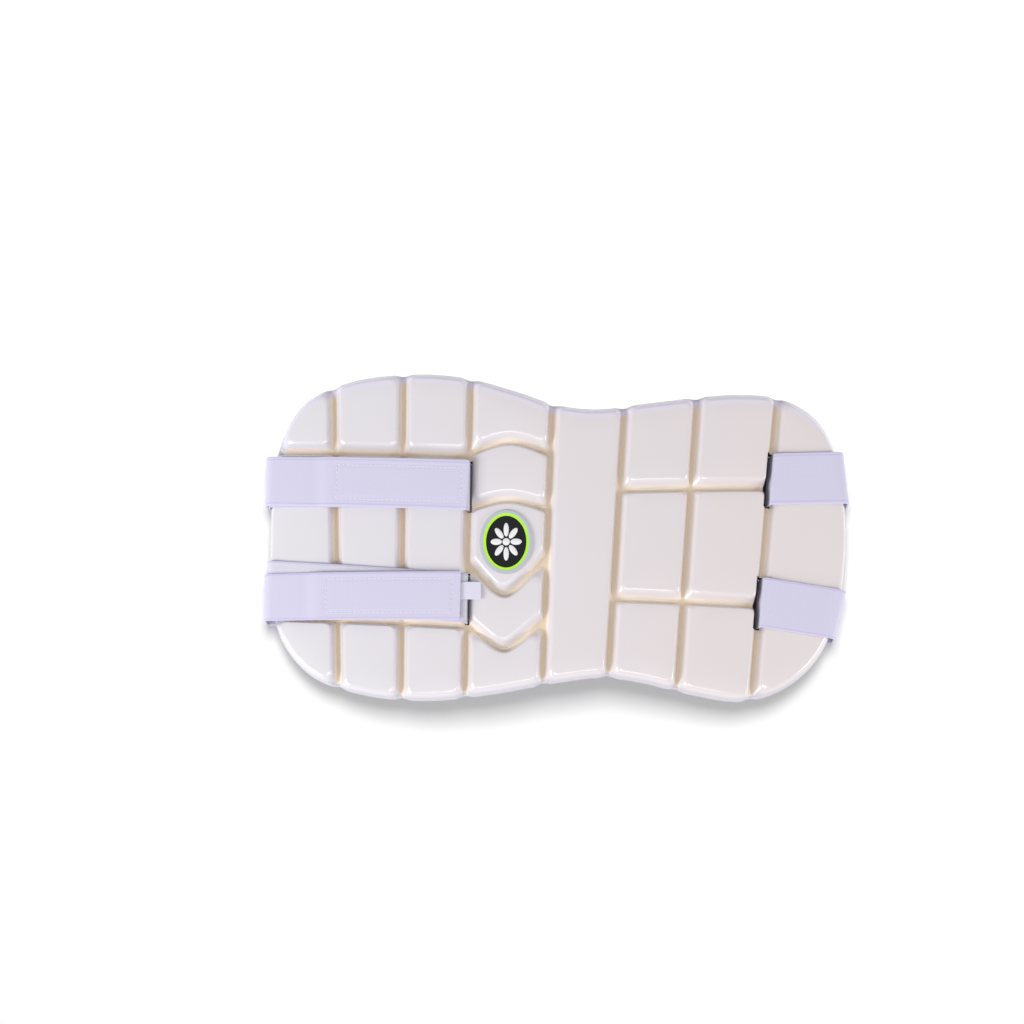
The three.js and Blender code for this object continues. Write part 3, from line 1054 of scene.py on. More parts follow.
@dataclass
class MouldedPad:
    """Arched foamed pad with a glossy moulded skin: raised blocks, the grooves between them and strap slots.

    Levels are over the pad's back. A run is the plan width of a block's wall on the side it is named for.
    Tint, row and sheen sizes say where the painted shade and painted sheen on the skin change.
    """

    arch: Arch
    knots: Sequence[tuple[float, float]]
    grooves: Sequence[Groove]
    columns: Sequence[Sequence[Row]]
    slots: Sequence[Slot]
    base: float = 7.5
    crown: float = 14.1
    dome_slope: float = 0.07
    dome_reach: float = 13.0
    wall_slope: float = math.radians(60)
    shoulder_radius: float = 3.2
    shoulder_steps: int = 6
    foot_radius: float = 1.0
    foot_steps: int = 4
    floor_half: float = 0.5
    left_run: float = 6.8
    right_run: float = 4.0
    top_run: float = 2.8
    bottom_run: float = 7.4
    rim_run: float = 4.6
    rim_ledge: float = 0.45
    rim_radius: float = 0.25
    rim_steps: int = 2
    rim_roll: float = 0.12
    roll_reach: float = 14.0
    rim_pull: float = 1.0
    pull_reach: float = 7.0
    notch_depth: float = 1.4
    notch_reach: float = 6.5
    back_radius: float = 2.0
    back_steps: int = 4
    foot_corner: float = 2.4
    crown_corner: float = 4.6
    corner_steps: int = 6
    spacing: float = 2.5
    crown_step: float = 5.0
    meeting_rounds: int = 5
    sharp_angle: float = math.radians(50)
    # Reaches and shares of the skin's painted shade and painted sheen
    tint_start: float = 1.0
    tint_reach: float = 3.0
    row_shade_share: float = 0.95
    row_fade: float = 4.0
    painted_sheen_reach: float = 10.0
    piece: bpy.types.Object | None = None

    def build(self) -> None:
        """Makes the pad's mesh."""
        bm = bmesh.new()
        outline = self._edge_points()
        edge = self._build_base(bm, outline)
        blocks = self._block_outlines(outline)
        faces = [self._new_face(bm, foot) for foot, _ in blocks]
        self._fill_floor(bm, [edge, *(face.verts[:] for face in faces)])
        for face, (foot, crown) in zip(faces, blocks):
            self._raise_block(bm, face, foot, crown)
        rim = Rim(outline)
        self._shape_rim(bm, rim)
        bmesh.ops.recalc_face_normals(bm, faces=bm.faces[:])
        self.arch.bend(bm)
        self.piece = to_object("moulded_pad_skin", bm)
        for _ in PadFinish:
            self.piece.data.materials.append(None)
        for slot in self.slots:
            self._cut(slot.cutter(self.arch))
        self.piece.data.set_sharp_from_angle(angle=self.sharp_angle)
        self._mark_depths(rim)

    def dress(self, skin: MouldedSkin, slot_shade: SlotShadeFinish) -> list[bpy.types.Object]:
        """Gives the pad its finishes and sets it on the guard.

        Args:
            skin: the finish all over it.
            slot_shade: the dark finish inside the slots, which is painted shade.

        Returns:
            The dressed piece.
        """
        self.piece.data.materials[PadFinish.SKIN.value] = skin.material()
        self.piece.data.materials[PadFinish.FOAM.value] = slot_shade.material()
        ride(self.piece, "moulded_skin", "moulded_pad")
        return [self.piece]

    def _edge_points(self) -> list[Vector]:
        """Works out the pad's outer edge, a centripetal curve through its knots.

        Returns:
            The edge's places, anticlockwise.
        """
        knots = [Vector((x, y, 0.0)) for x, y in reversed(self.knots)]
        points = []
        for i, here in enumerate(knots):
            before, after, beyond = knots[i - 1], knots[(i + 1) % len(knots)], knots[(i + 2) % len(knots)]
            steps = [math.sqrt((b - a).length) for a, b in ((before, here), (here, after), (after, beyond))]
            leave = self._tangent(before, here, after, steps[0], steps[1]) * steps[1]
            arrive = self._tangent(here, after, beyond, steps[1], steps[2]) * steps[1]
            count = math.ceil((after - here).length / self.spacing)
            handles = (here, here + leave / 3, after - arrive / 3, after)
            points += geometry.interpolate_bezier(*handles, count + 1)[:-1]
        return points

    @staticmethod
    def _tangent(before: Vector, here: Vector, after: Vector, first: float, second: float) -> Vector:
        """Tangent of a centripetal curve at a knot.

        Args:
            before: the knot before.
            here: the knot.
            after: the knot after.
            first: the curve's step up to the knot.
            second: its step from the knot on.

        Returns:
            The tangent for a step of one.
        """
        return (here - before) / first - (after - before) / (first + second) + (after - here) / second

    @staticmethod
    def _inset(outline: Sequence[Vector], distance: float) -> list[Vector]:
        """An outline moved inwards.

        Args:
            outline: its places, anticlockwise.
            distance: how far it moves.

        Returns:
            The places it moves to.
        """
        moved = []
        for i, point in enumerate(outline):
            along = (outline[(i + 1) % len(outline)] - outline[i - 1]).normalized()
            moved.append(point + UP.cross(along) * distance)
        return moved

    @staticmethod
    def _new_face(bm: bmesh.types.BMesh, points: Sequence[Vector]) -> bmesh.types.BMFace:
        """Adds a face with its own vertices."""
        return bm.faces.new([bm.verts.new(point) for point in points])

    @staticmethod
    def _step_in(
        bm: bmesh.types.BMesh, face: bmesh.types.BMFace, profile: Sequence[tuple[float, float]],
    ) -> None:
        """Moves a face in and out along its normal in steps, leaving a wall behind.

        Args:
            bm: the mesh.
            face: the face.
            profile: for each step, how far the face has come in and out since the start.
        """
        inset, depth = 0.0, 0.0
        for next_inset, next_depth in profile:
            bmesh.ops.inset_individual(
                bm, faces=[face], thickness=next_inset - inset, depth=next_depth - depth,
                use_even_offset=True)
            inset, depth = next_inset, next_depth

    @staticmethod
    def _quarter(radius: float, steps: int) -> list[tuple[float, float]]:
        """Profile of a quarter round, from its steep end.

        Args:
            radius: its radius.
            steps: how many steps it has.

        Returns:
            The run and rise after each step.
        """
        turns = [math.pi / 2 * i / steps for i in range(1, steps + 1)]
        return [(radius * (1 - math.cos(turn)), radius * math.sin(turn)) for turn in turns]

    def _build_base(self, bm: bmesh.types.BMesh, outline: Sequence[Vector]) -> list[bmesh.types.BMVert]:
        """Adds the rim and the back of the pad.

        Args:
            bm: the pad's mesh.
            outline: its outer edge.

        Returns:
            The vertices round the opening at the front, where the groove floors start.
        """
        front = self._new_face(bm, [point + UP * (self.base - self.rim_radius) for point in outline])
        back = self._new_face(bm, [point + UP * self.back_radius for point in reversed(outline)])
        bmesh.ops.bridge_loops(bm, edges=front.edges[:] + back.edges[:])
        self._step_in(bm, front, self._quarter(self.rim_radius, self.rim_steps))
        self._step_in(bm, back, self._quarter(self.back_radius, self.back_steps))
        self._slice(bm, back, Vector((1.0, 0.0, 0.0)))
        edge = front.verts[:]
        bmesh.ops.delete(bm, geom=[front], context="FACES_ONLY")
        return edge

    @staticmethod
    def _fill_floor(bm: bmesh.types.BMesh, loops: Sequence[Sequence[bmesh.types.BMVert]]) -> None:
        """Fills the groove floors between the pad's edge and the blocks' feet.

        Args:
            bm: the pad's mesh.
            loops: the vertices round the edge and round each foot.
        """
        verts, rings = [], []
        for loop in loops:
            rings.append(list(range(len(verts), len(verts) + len(loop))))
            verts += loop
        flat = [vert.co.to_2d() for vert in verts]
        inside = 1
        _, _, faces, sources, _, owners = geometry.delaunay_2d_cdt(flat, [], rings, inside, PlanFace.touch)
        for face, owner in zip(faces, owners):
            if owner == [0]:
                bm.faces.new([verts[sources[i][0]] for i in face])

    def _slice(
        self, bm: bmesh.types.BMesh, face: bmesh.types.BMFace, *directions: Vector,
    ) -> list[bmesh.types.BMFace]:
        """Cuts a flat face into cells along the given directions.

        Args:
            bm: the mesh.
            face: the face.
            *directions: what each family of cuts is square to.

        Returns:
            The cells.
        """
        cells = [face]
        for direction in directions:
            reaches = [vert.co.dot(direction) for cell in cells for vert in cell.verts]
            first, last = min(reaches), max(reaches)
            count = math.ceil((last - first) / self.crown_step)
            for i in range(1, count):
                place = direction * (first + (last - first) * i / count)
                geom = {item for cell in cells for item in (cell, *cell.edges, *cell.verts)}
                made = bmesh.ops.bisect_plane(
                    bm, geom=list(geom), dist=PlanFace.touch, plane_co=place, plane_no=direction)
                cells = [item for item in made["geom"] if isinstance(item, bmesh.types.BMFace)]
        return cells

    def _block_outlines(self, outline: Sequence[Vector]) -> list[tuple[list[Vector], list[Vector]]]:
        """Outlines of the blocks at the level of the groove floors.

        Args:
            outline: the pad's outer edge.

        Returns:
            For each block the outlines of its foot and of its crown, anticlockwise and place for place.
        """
        outlines = []
        for column, rows in enumerate(self.columns):
            for i in range(len(rows) + 1):
                low, high = (self._block_ring(outline, column, i, share) for share in (0.0, 1.0))
                foot = BlockOutline(low, self.foot_corner, self.corner_steps)
                crown = BlockOutline(high, self.crown_corner, self.corner_steps)
                crown.turn_to(foot)
                counts = foot.counts(self.spacing)
                outlines.append((foot.places(counts), crown.places(counts)))
        return outlines

    def _block_ring(self, outline: Sequence[Vector], column: int, i: int, share: float) -> list[Vector]:
        """Outline of a block with sharp corners.

        Args:
            outline: the pad's outer edge.
            column: the block's column, from the left.
            i: its number in the column, from the top.
            share: the share of its walls' run that the outline lies in from its foot.

        Returns:
            The outline's places, anticlockwise.
        """
        rows = self.columns[column]
        face = PlanFace(self._inset(outline, self.rim_ledge + share * self.rim_run))
        sides = []
        if column > 0:
            sides.append((self.grooves[column - 1], self.floor_half + share * self.left_run))
        if column < len(self.grooves):
            sides.append((self.grooves[column], -self.floor_half - share * self.right_run))
        for groove, offset in sides:
            outward = groove.across * -math.copysign(1, offset)
            face.cut(Vector((groove.x_at(0), 0, 0)) + groove.across * offset, outward)
        if i > 0:
            self._cut_row(face, rows[i - 1], Side.BELOW, self.floor_half + share * self.top_run, sides)
        if i < len(rows):
            self._cut_row(face, rows[i], Side.ABOVE, self.floor_half + share * self.bottom_run, sides)
        return [place + UP * self.base for place in face.ring()]

    def _cut_row(
        self, face: PlanFace, row: Row, side: Side, half: float, sides: Sequence[tuple[Groove, float]],
    ) -> None:
        """Cuts a block's outline back to one side of a groove across the chest.

        Args:
            face: the outline.
            row: the groove.
            side: the side of the groove that the block is on.
            half: how far the outline keeps from the groove's middle.
            sides: the grooves up the body beside the block, and how far the outline keeps from each.
        """
        if row.tip is None:
            ends = [Vector((x, row.edge_at(x, side, half), 0.0)) for x, _ in (row.left, row.right)]
        else:
            ends = [self._meeting(row, side, half, groove, offset) for groove, offset in sides]
        along = (ends[1] - ends[0]).normalized()
        outward = UP.cross(along) * -side.value
        face.cut(ends[0], outward)
        if row.tip is not None:
            face.bow(ends[0], outward, lambda x: row.edge_at(x, side, half), self.spacing / 2)

    def _meeting(self, row: Row, side: Side, half: float, groove: Groove, offset: float) -> Vector:
        """Place where a block's outline turns from a row to a groove, found in a few rounds.

        Args:
            row: the row.
            side: the side of the row that the block is on.
            half: how far the outline keeps from the row's middle.
            groove: the groove.
            offset: how far the outline keeps from the groove's middle.

        Returns:
            The place.
        """
        y = row.left[1]
        for _ in range(self.meeting_rounds):
            x = groove.x_at(y) + offset / math.cos(groove.lean)
            y = row.edge_at(x, side, half)
        return Vector((x, y, 0.0))

    def _wall_profile(self) -> list[tuple[float, float]]:
        """Profile of a block's wall: a hollow foot, a straight slope and a round shoulder.

        Returns:
            For each step, the share of the wall's run and the height over the groove floor.
        """
        sine, drop = math.sin(self.wall_slope), 1 - math.cos(self.wall_slope)
        rise = self.crown - self.base
        straight = rise - (self.foot_radius + self.shoulder_radius) * drop
        run = (self.foot_radius + self.shoulder_radius) * sine + straight / math.tan(self.wall_slope)
        profile = []
        for i in range(1, self.foot_steps + 1):
            turn = self.wall_slope * i / self.foot_steps
            out, up = self.foot_radius * math.sin(turn), self.foot_radius * (1 - math.cos(turn))
            profile.append((out / run, up))
        for i in range(self.shoulder_steps + 1):
            turn = self.wall_slope * (1 - i / self.shoulder_steps)
            in_from_crown = self.shoulder_radius * math.sin(turn)
            profile.append((1 - in_from_crown / run, rise - self.shoulder_radius * (1 - math.cos(turn))))
        return profile

    def _raise_block(
        self, bm: bmesh.types.BMesh, face: bmesh.types.BMFace,
        foot: Sequence[Vector], crown: Sequence[Vector],
    ) -> None:
        """Raises a block from its foot, with sloping walls and a low domed crown.

        Args:
            bm: the pad's mesh.
            face: the block's foot.
            foot: outline of the foot.
            crown: outline of the crown, at the foot's level.
        """
        for share, height in self._wall_profile():
            face = bmesh.ops.extrude_discrete_faces(bm, faces=[face])["faces"][0]
            for vert, low, high in zip(face.verts, foot, crown):
                vert.co = low.lerp(high, share) + UP * height
        edge = [vert.co.copy() for vert in face.verts]
        sides = list(zip(edge, edge[1:] + edge[:1]))
        cells = self._slice(bm, face, Vector((1.0, 0.0, 0.0)), Vector((0.0, 1.0, 0.0)))
        for vert in {vert for cell in cells for vert in cell.verts}:
            inwards = min((vert.co - nearest_on_edge(vert.co, *side)).length for side in sides)
            reach = min(inwards, self.dome_reach)
            vert.co.z += self.dome_slope * (reach - reach * reach / (2 * self.dome_reach))

    def _cut(self, cutter: bpy.types.Object) -> None:
        """Cuts a slot out of the pad.

        Args:
            cutter: the slot's shape, which is removed.
        """
        difference = self.piece.modifiers.new("slot", "BOOLEAN")
        difference.operation = "DIFFERENCE"
        difference.solver = "EXACT"
        difference.material_mode = "INDEX"
        difference.object = cutter
        graph = bpy.context.evaluated_depsgraph_get()
        cut = bpy.data.meshes.new_from_object(self.piece.evaluated_get(graph))
        self.piece.modifiers.clear()
        self.piece.data = cut
        bpy.data.objects.remove(cutter)

    def _shape_rim(self, bm: bmesh.types.BMesh, rim: Rim) -> None:
        """Brings the outer walls to the edge, lowers the blocks towards it and notches it at the grooves.

        Args:
            bm: the pad's mesh, flat.
            rim: the pad's edge.
        """
        for vert in bm.verts:
            edge, inward = rim.nearest(vert.co)
            away = (edge - vert.co).to_2d().length
            notch = self._ease(away / self.notch_reach) * self.notch_depth
            notch *= self._ease(self._off_grooves(edge) / self.notch_reach)
            height = max(vert.co.z - self.base, 0.0)
            pull = 0.0
            if height > PlanFace.touch:
                room = max(away - self.rim_radius / 2, 0.0)
                pull = min(self.rim_pull * self._ease(away / self.pull_reach), room)
            roll = max(1 - away / self.roll_reach, 0.0)
            vert.co += inward * (notch - pull) - UP * height * self.rim_roll * roll * roll

    def _off_grooves(self, place: Vector) -> float:
        """Distance across the chest from a flat place to the nearest groove up the body."""
        return min(abs(place.x - groove.x_at(place.y)) for groove in self.grooves)

    @staticmethod
    def _ease(share: float) -> float:
        """Smooth fall from 1 at no share to 0 at a full one."""
        left = min(max(1 - share, 0.0), 1.0)
        return left * left * (3 - 2 * left)

    def _mark_depths(self, rim: Rim) -> None:
        """Stores what the skin's painted shade and painted sheen follow, from 0 to 1 for each vertex.

        They are its depth under the crowns in the grooves, for the painted shade there, its depth round
        the rim, for the painted lilac shade there, and how near it is to the upper edge, for the painted
        sheen.

        Args:
            rim: the pad's edge.
        """
        mesh = self.piece.data
        # Shares of painted shade in the grooves, painted shade on the rim and painted sheen on the upper
        # edge
        grooves = mesh.attributes.new("groove", "FLOAT", "POINT")
        sides = mesh.attributes.new("rim", "FLOAT", "POINT")
        sheen_marks = mesh.attributes.new("painted_sheen_share", "FLOAT", "POINT")
        for i, vert in enumerate(mesh.vertices):
            flat = self.arch.flat(vert.co)
            edge, inward = rim.nearest(flat)
            away = (edge - flat).to_2d().length
            inside = min(max((away - self.tint_start) / self.tint_reach, 0.0), 1.0)
            is_front = flat.z > self.base - self.foot_radius
            depth = min(max((self.crown - flat.z) / (self.crown - self.base), 0.0), 1.0)
            # Rows across the chest get a little less painted shade than the grooves up the body
            upright = self._ease((self._off_grooves(flat) - self.left_run) / self.row_fade)
            tint = self.row_shade_share + (1 - self.row_shade_share) * upright
            grooves.data[i].value = depth * inside * tint if is_front else 0.0
            sides.data[i].value = depth * (1 - inside)
            sheen_marks.data[i].value = self._ease(away / self.painted_sheen_reach) * max(-inward.y, 0.0)


@dataclass(frozen=True)
class Turn:
    """Turning point of a band's middle line, in millimetres.

    Ease is how far from it the band starts to bend. Lean is the angle of its fold from Y; a fold with none
    is square to the run.
    """

    place: Vector
    ease: float = 0.0
    lean: float | None = None


@dataclass(frozen=True)
class Station:
    """Place on a band's middle line: the ways across and out of it, half its width and the length so far."""

    place: Vector
    across: Vector
    out: Vector
    half_width: float
    reach: float


@dataclass(frozen=True)
class Seam:
    """Straight row of stitches on a band. An end is a length along it and a distance from its middle."""

    start: Vector
    end: Vector

    def distance(self, place: Vector) -> float:
        """Distance of a place on the band from the seam."""
        return (place - nearest_on_edge(place, self.start, self.end)).length


@dataclass
class Band:
    """Flat band of woven or knitted tape that runs through its turns."""

    name: str
    arch: Arch
    turns: Sequence[Turn]
    width_at: Callable[[float], float]
    thickness: float
    is_loop: bool = False
    seams: Sequence[Seam] = ()
    step: float = 1.5
    bend_steps: int = 8
    cells_across: int = 26
    edge_round: float = 0.3
    edge_steps: int = 2
    edge_angle: float = math.radians(60)
    merge_share: float = 0.1
    seam_depth: float = 0.22
    seam_width: float = 1.1
    stations: list[Station] = field(default_factory=list)
    piece: bpy.types.Object | None = None

    def build(self) -> None:
        """Makes the band as a grid along its middle line, with a thickness and rounded edges."""
        self.stations = self._run()
        count = len(self.stations) - 1
        bm = bmesh.new()
        marks = bm.loops.layers.uv.new(BAND_MAP)
        bmesh.ops.create_grid(bm, x_segments=count, y_segments=self.cells_across, size=1.0)
        half = self.width_at(0.0) / 2
        for face in bm.faces:
            for loop in face.loops:
                station = self.stations[self._number(loop.vert, count)]
                loop[marks].uv = (station.reach * MM, loop.vert.co.y * half * MM)
        for vert in bm.verts:
            station = self.stations[self._number(vert, count)]
            offset = vert.co.y * station.half_width
            dip = station.out * self._dip(station.reach, offset)
            vert.co = self.arch.to_row(station.place + station.across * offset - dip)
        if self.is_loop:
            bmesh.ops.remove_doubles(bm, verts=bm.verts[:], dist=self.edge_round * self.merge_share * MM)
        self.piece = to_object(self.name, bm)
        wall = self.piece.modifiers.new("thickness", "SOLIDIFY")
        wall.thickness = self.thickness * MM
        wall.offset = 0.0
        wall.use_even_offset = True
        edge = self.piece.modifiers.new("soft_edge", "BEVEL")
        edge.width = self.edge_round * MM
        edge.segments = self.edge_steps
        edge.limit_method = "ANGLE"
        edge.angle_limit = self.edge_angle

    @property
    def length(self) -> float:
        """Length of the middle line."""
        return self._run()[-1].reach

    def on_face(self, reach: float, offset: float) -> Matrix:
        """Place on the band's outer face, turned with X along the band and Z out of it.

        Args:
            reach: length along the band.
            offset: distance from its middle line.

        Returns:
            The place as a matrix in millimetres, before it is set in the row frame.
        """
        last = next(i for i, station in enumerate(self.stations) if station.reach >= reach)
        before, after = self.stations[max(last - 1, 0)], self.stations[max(last, 1)]
        share = (reach - before.reach) / (after.reach - before.reach)
        across = before.across.lerp(after.across, share).normalized()
        out = before.out.lerp(after.out, share).normalized()
        lift = self.thickness / 2 - self._dip(reach, offset)
        place = before.place.lerp(after.place, share) + across * offset + out * lift
        return Matrix.Translation(place) @ Matrix((across.cross(out), across, out)).transposed().to_4x4()

    def _dip(self, reach: float, offset: float) -> float:
        """How far the band is pulled in by its seams at a place.

        Args:
            reach: length along the band.
            offset: distance from its middle line.

        Returns:
            The depth.
        """
        place = Vector((reach, offset))
        away = min((seam.distance(place) for seam in self.seams), default=math.inf)
        return self.seam_depth * math.exp(-((away / self.seam_width) ** 2))

    @staticmethod
    def _number(vert: bmesh.types.BMVert, count: int) -> int:
        """Number of the station that a vertex of the flat grid belongs to."""
        return round((vert.co.x + 1) / 2 * count)

    def _keys(self) -> list[tuple[Vector, float | None]]:
        """Works out the middle line, closely spaced round the eased turns.

        Returns:
            The line's places with their leans.
        """
        keys = []
        for i, turn in enumerate(self.turns):
            if turn.ease == 0:
                keys.append((turn.place, turn.lean))
                continue
            before = self.turns[i - 1].place
            after = self.turns[(i + 1) % len(self.turns)].place
            start = turn.place + (before - turn.place).normalized() * turn.ease
            end = turn.place + (after - turn.place).normalized() * turn.ease
            for j in range(self.bend_steps + 1):
                share = j / self.bend_steps
                place = start.lerp(turn.place, share).lerp(turn.place.lerp(end, share), share)
                keys.append((place, turn.lean))
        return keys

    def _run(self) -> list[Station]:
        """Works out the stations of the whole band.

        Returns:
            The stations, a step apart or less.
        """
        keys = self._keys()
        last = len(keys) - 1
        folds = []
        for i, (place, lean) in enumerate(keys):
            before = keys[i - 1 if self.is_loop else max(i - 1, 0)][0]
            after = keys[(i + 1) % len(keys) if self.is_loop else min(i + 1, last)][0]
            along = (after - before).normalized()
            across = Vector((math.sin(lean or 0.0), math.cos(lean or 0.0), 0.0))
            if lean is None:
                across = (across - along * along.dot(across)).normalized()
            folds.append((place, across, along.cross(across).normalized()))
        if self.is_loop:
            folds.append(folds[0])
        stations = []
        reach = 0.0
        for fold, after in zip(folds, folds[1:] + folds[-1:]):
            gap = (after[0] - fold[0]).length
            count = max(math.ceil(gap / self.step), 1)
            for j in range(count):
                place, across, out = (a.lerp(b, j / count) for a, b in zip(fold, after))
                half_width = self.width_at(place.x) / 2
                stations.append(Station(place, across, out, half_width, reach + gap * j / count))
            reach += gap
        return stations


@dataclass
class Stitching:
    """Rows of sewn thread on a band, a short flat oval for each stitch."""

    name: str
    arch: Arch
    length: float = 2.4
    gap: float = 0.7
    width: float = 0.75
    rise: float = 0.36
    sides: int = 8
    rings: int = 5
    wander: float = 0.1
    wander_turn: float = 5.0
    piece: bpy.types.Object | None = None

    def build(self, band: Band) -> None:
        """Makes the stitches.

        Args:
            band: the band that they are sewn through.
        """
        bm = bmesh.new()
        size = Matrix.Diagonal((self.length / 2, self.width / 2, self.rise, 1.0))
        for seam in band.seams:
            run = seam.end - seam.start
            count = round(run.length / (self.length + self.gap))
            turn = Matrix.Rotation(math.atan2(run.y, run.x), 4, "Z")
            for i in range(count):
                place = seam.start + run * (i + 0.5) / count
                sway = Matrix.Rotation(self.wander * math.sin(self.wander_turn * i), 4, "Z")
                bmesh.ops.create_uvsphere(
                    bm, u_segments=self.sides, v_segments=self.rings, radius=1.0,
                    matrix=band.on_face(*place) @ turn @ sway @ size)
        for vert in bm.verts:
            vert.co = self.arch.to_row(vert.co)
        self.piece = to_object(self.name, bm)


@dataclass(frozen=True)
class Layers:
    """Heights of the bands' middles over the pad's back, from the pad outwards."""

    crown: float = 14.5
    gap: float = 0.4
    strap_thickness: float = 1.2
    strip_thickness: float = 1.2
    patch_thickness: float = 1.2

    @property
    def tail(self) -> float:
        """Strap tails and strips behind the pad."""
        return -self.gap - self.strap_thickness / 2

    @property
    def strip(self) -> float:
        """Loop strips on the front."""
        return self.crown + self.gap + self.strip_thickness / 2

    @property
    def right_strap(self) -> float:
        """Straps over the last column."""
        return self.crown + 2 * self.gap + self.strap_thickness / 2

    @property
    def fold(self) -> float:
        """Straps that have come round the left edge."""
        return self.strip + self.strip_thickness / 2 + self.gap + self.strap_thickness / 2

    @property
    def patch(self) -> float:
        """Hook patches on the loop strips."""
        return self.strip + self.strip_thickness / 2 + self.gap + self.patch_thickness / 2

    @property
    def end(self) -> float:
        """Strap ends over the hook patches."""
        return self.patch + self.patch_thickness / 2 + self.gap + self.strap_thickness / 2


@dataclass
class Fastening:
    """One elastic strap with the loop strip that it fastens on, its hook patch and its stitches."""

    name: str
    arch: Arch
    left_width: float
    right_width: float
    slot_y: float
    right_edge: tuple[float, float]
    right_lean: float
    left_edge_y: float
    end: tuple[float, float]
    patch_start: float
    patch_end: float
    strip_edge_y: float
    strip_slot_y: float
    right_groove: Groove
    left_groove: Groove
    layers: Layers = field(default_factory=Layers)
    right_slot_width: float = 5.4
    right_slot_shift: float = -1.0
    left_slot_width: float = 2.8
    left_slot_shift: float = 0.9
    slot_spare: float = 1.6
    strip_width: float = 32.0
    patch_width: float = 24.0
    strip_edge: float = -190.0
    fold_edge: float = -191.6
    tail_length: float = 30.0
    edge_ease: float = 5.0
    back_ease: float = 2.5
    slot_ease: float = 1.1
    slot_top_ease: float = 2.0
    step_lead: float = 2.0
    step_run: float = 8.0
    step_ease: float = 2.5
    run_step: float = 3.0
    seam_inset: float = 1.9
    seam_half_width: float = 11.2
    strip_seam_inset: float = 3.6
    bands: dict[str, Band] = field(default_factory=dict)
    stitches: dict[str, Stitching] = field(default_factory=dict)

    def slots(self) -> tuple[Slot, Slot]:
        """Works out the slots that the strap and the strip go through.

        Returns:
            The strap's slot and the strip's.
        """
        strap_slot = Slot(
            groove=self.right_groove, y=self.slot_y, length=self.right_width + self.slot_spare,
            width=self.right_slot_width, shift=self.right_slot_shift, band_side=1.0)
        strip_slot = Slot(
            groove=self.left_groove, y=self.strip_slot_y, length=self.strip_width + self.slot_spare,
            width=self.left_slot_width, shift=self.left_slot_shift, band_side=-1.0)
        return strap_slot, strip_slot

    def build(self) -> None:
        """Makes the bands and their stitches."""
        layers = self.layers
        strap = self._new_band("strap", self._strap_turns(), self._strap_width, layers.strap_thickness)
        strap.seams = self._end_seams(strap.length)
        strip = self._new_band(
            "loop_strip", self._strip_turns(), lambda x: self.strip_width, layers.strip_thickness)
        strip.is_loop = True
        strip.seams = self._strip_seams()
        self._new_band("hook_patch", self._patch_turns(), lambda x: self.patch_width, layers.patch_thickness)
        for band in self.bands.values():
            band.build()
        for key in ("strap", "loop_strip"):
            self.stitches[key] = Stitching(f"{self.name}_{key}_stitches", self.arch)
            self.stitches[key].build(self.bands[key])

    def dress(
        self, elastic: Elastic, pile: LoopPile, hooks: HookTape, thread: Thread,
    ) -> list[bpy.types.Object]:
        """Gives the pieces their finishes and sets them on the guard.

        Args:
            elastic: the strap's finish.
            pile: the loop strip's.
            hooks: the hook patch's.
            thread: the stitches'.

        Returns:
            The dressed pieces.
        """
        for key, slot, finish in (
            ("strap", "elastic", elastic),
            ("loop_strip", "loop_pile", pile),
            ("hook_patch", "hook_tape", hooks),
        ):
            band = self.bands[key]
            band.piece.data.materials.append(finish.material())
            ride(band.piece, slot, f"{self.name}_{key}")
        for key, slot in (("strap", "elastic"), ("loop_strip", "loop_pile")):
            sewing = self.stitches[key].piece
            sewing.data.materials.append(thread.material())
            ride(sewing, slot)
            band = self.bands[key]
            band.length * MM
        return [made.piece for made in (*self.bands.values(), *self.stitches.values())]

    def _new_band(
        self, key: str, turns: Sequence[Turn], width_at: Callable[[float], float], thickness: float,
    ) -> Band:
        """Starts a band.

        Args:
            key: what it is called beside the fastening's name.
            turns: its turns.
            width_at: its width at a finished x.
            thickness: its thickness.

        Returns:
            The band, which is kept and not built yet.
        """
        self.bands[key] = Band(f"{self.name}_{key}_band", self.arch, turns, width_at, thickness)
        return self.bands[key]

    def _strap_width(self, x: float) -> float:
        """Width of the strap at a finished x: it is less where the elastic is stretched more."""
        share = (x - self.fold_edge) / (self.right_edge[0] - self.fold_edge)
        return self.left_width + (self.right_width - self.left_width) * share

    def _front_height(self, x: float) -> float:
        """Height on the body of the strap's end at a plan x."""
        share = (x - self.fold_edge) / (self.end[0] - self.fold_edge)
        return self.left_edge_y + (self.end[1] - self.left_edge_y) * share

    def _face_run(self, start: tuple[float, float], end: tuple[float, float], level: float) -> list[Turn]:
        """Turns along the face of the pad between two flat places.

        Args:
            start: the first flat place.
            end: the last one.
            level: height over the pad's back.

        Returns:
            The turns between those places, without them.
        """
        count = math.ceil(abs(end[0] - start[0]) / self.run_step)
        places = [Vector(start).lerp(Vector(end), i / count) for i in range(1, count)]
        return [Turn(self.arch.on_pad(place.x, place.y, level)) for place in places]

    def _strap_turns(self) -> list[Turn]:
        """Works out the run of the strap.

        Returns:
            Its turns: tail, slot, last column, right edge, behind the pad, left edge and sewn end.
        """
        on_pad, layers = self.arch.on_pad, self.layers
        lean = self.right_groove.lean
        wall = self.right_slot_shift + self.right_slot_width / 2 - layers.gap - layers.strap_thickness / 2
        slot = (self.right_groove.x_at(self.slot_y) + wall, self.slot_y)
        floor = layers.strap_thickness / 2
        edge_x, edge_y = self.right_edge
        right = (self.arch.plan_for(edge_x, layers.right_strap), edge_y)
        left = (self.arch.plan_for(self.fold_edge, layers.fold), self.left_edge_y)
        top_x = self.patch_start - self.step_lead
        foot_x = top_x - self.step_run
        step_top = (top_x, self._front_height(top_x))
        step_foot = (foot_x, self._front_height(foot_x))
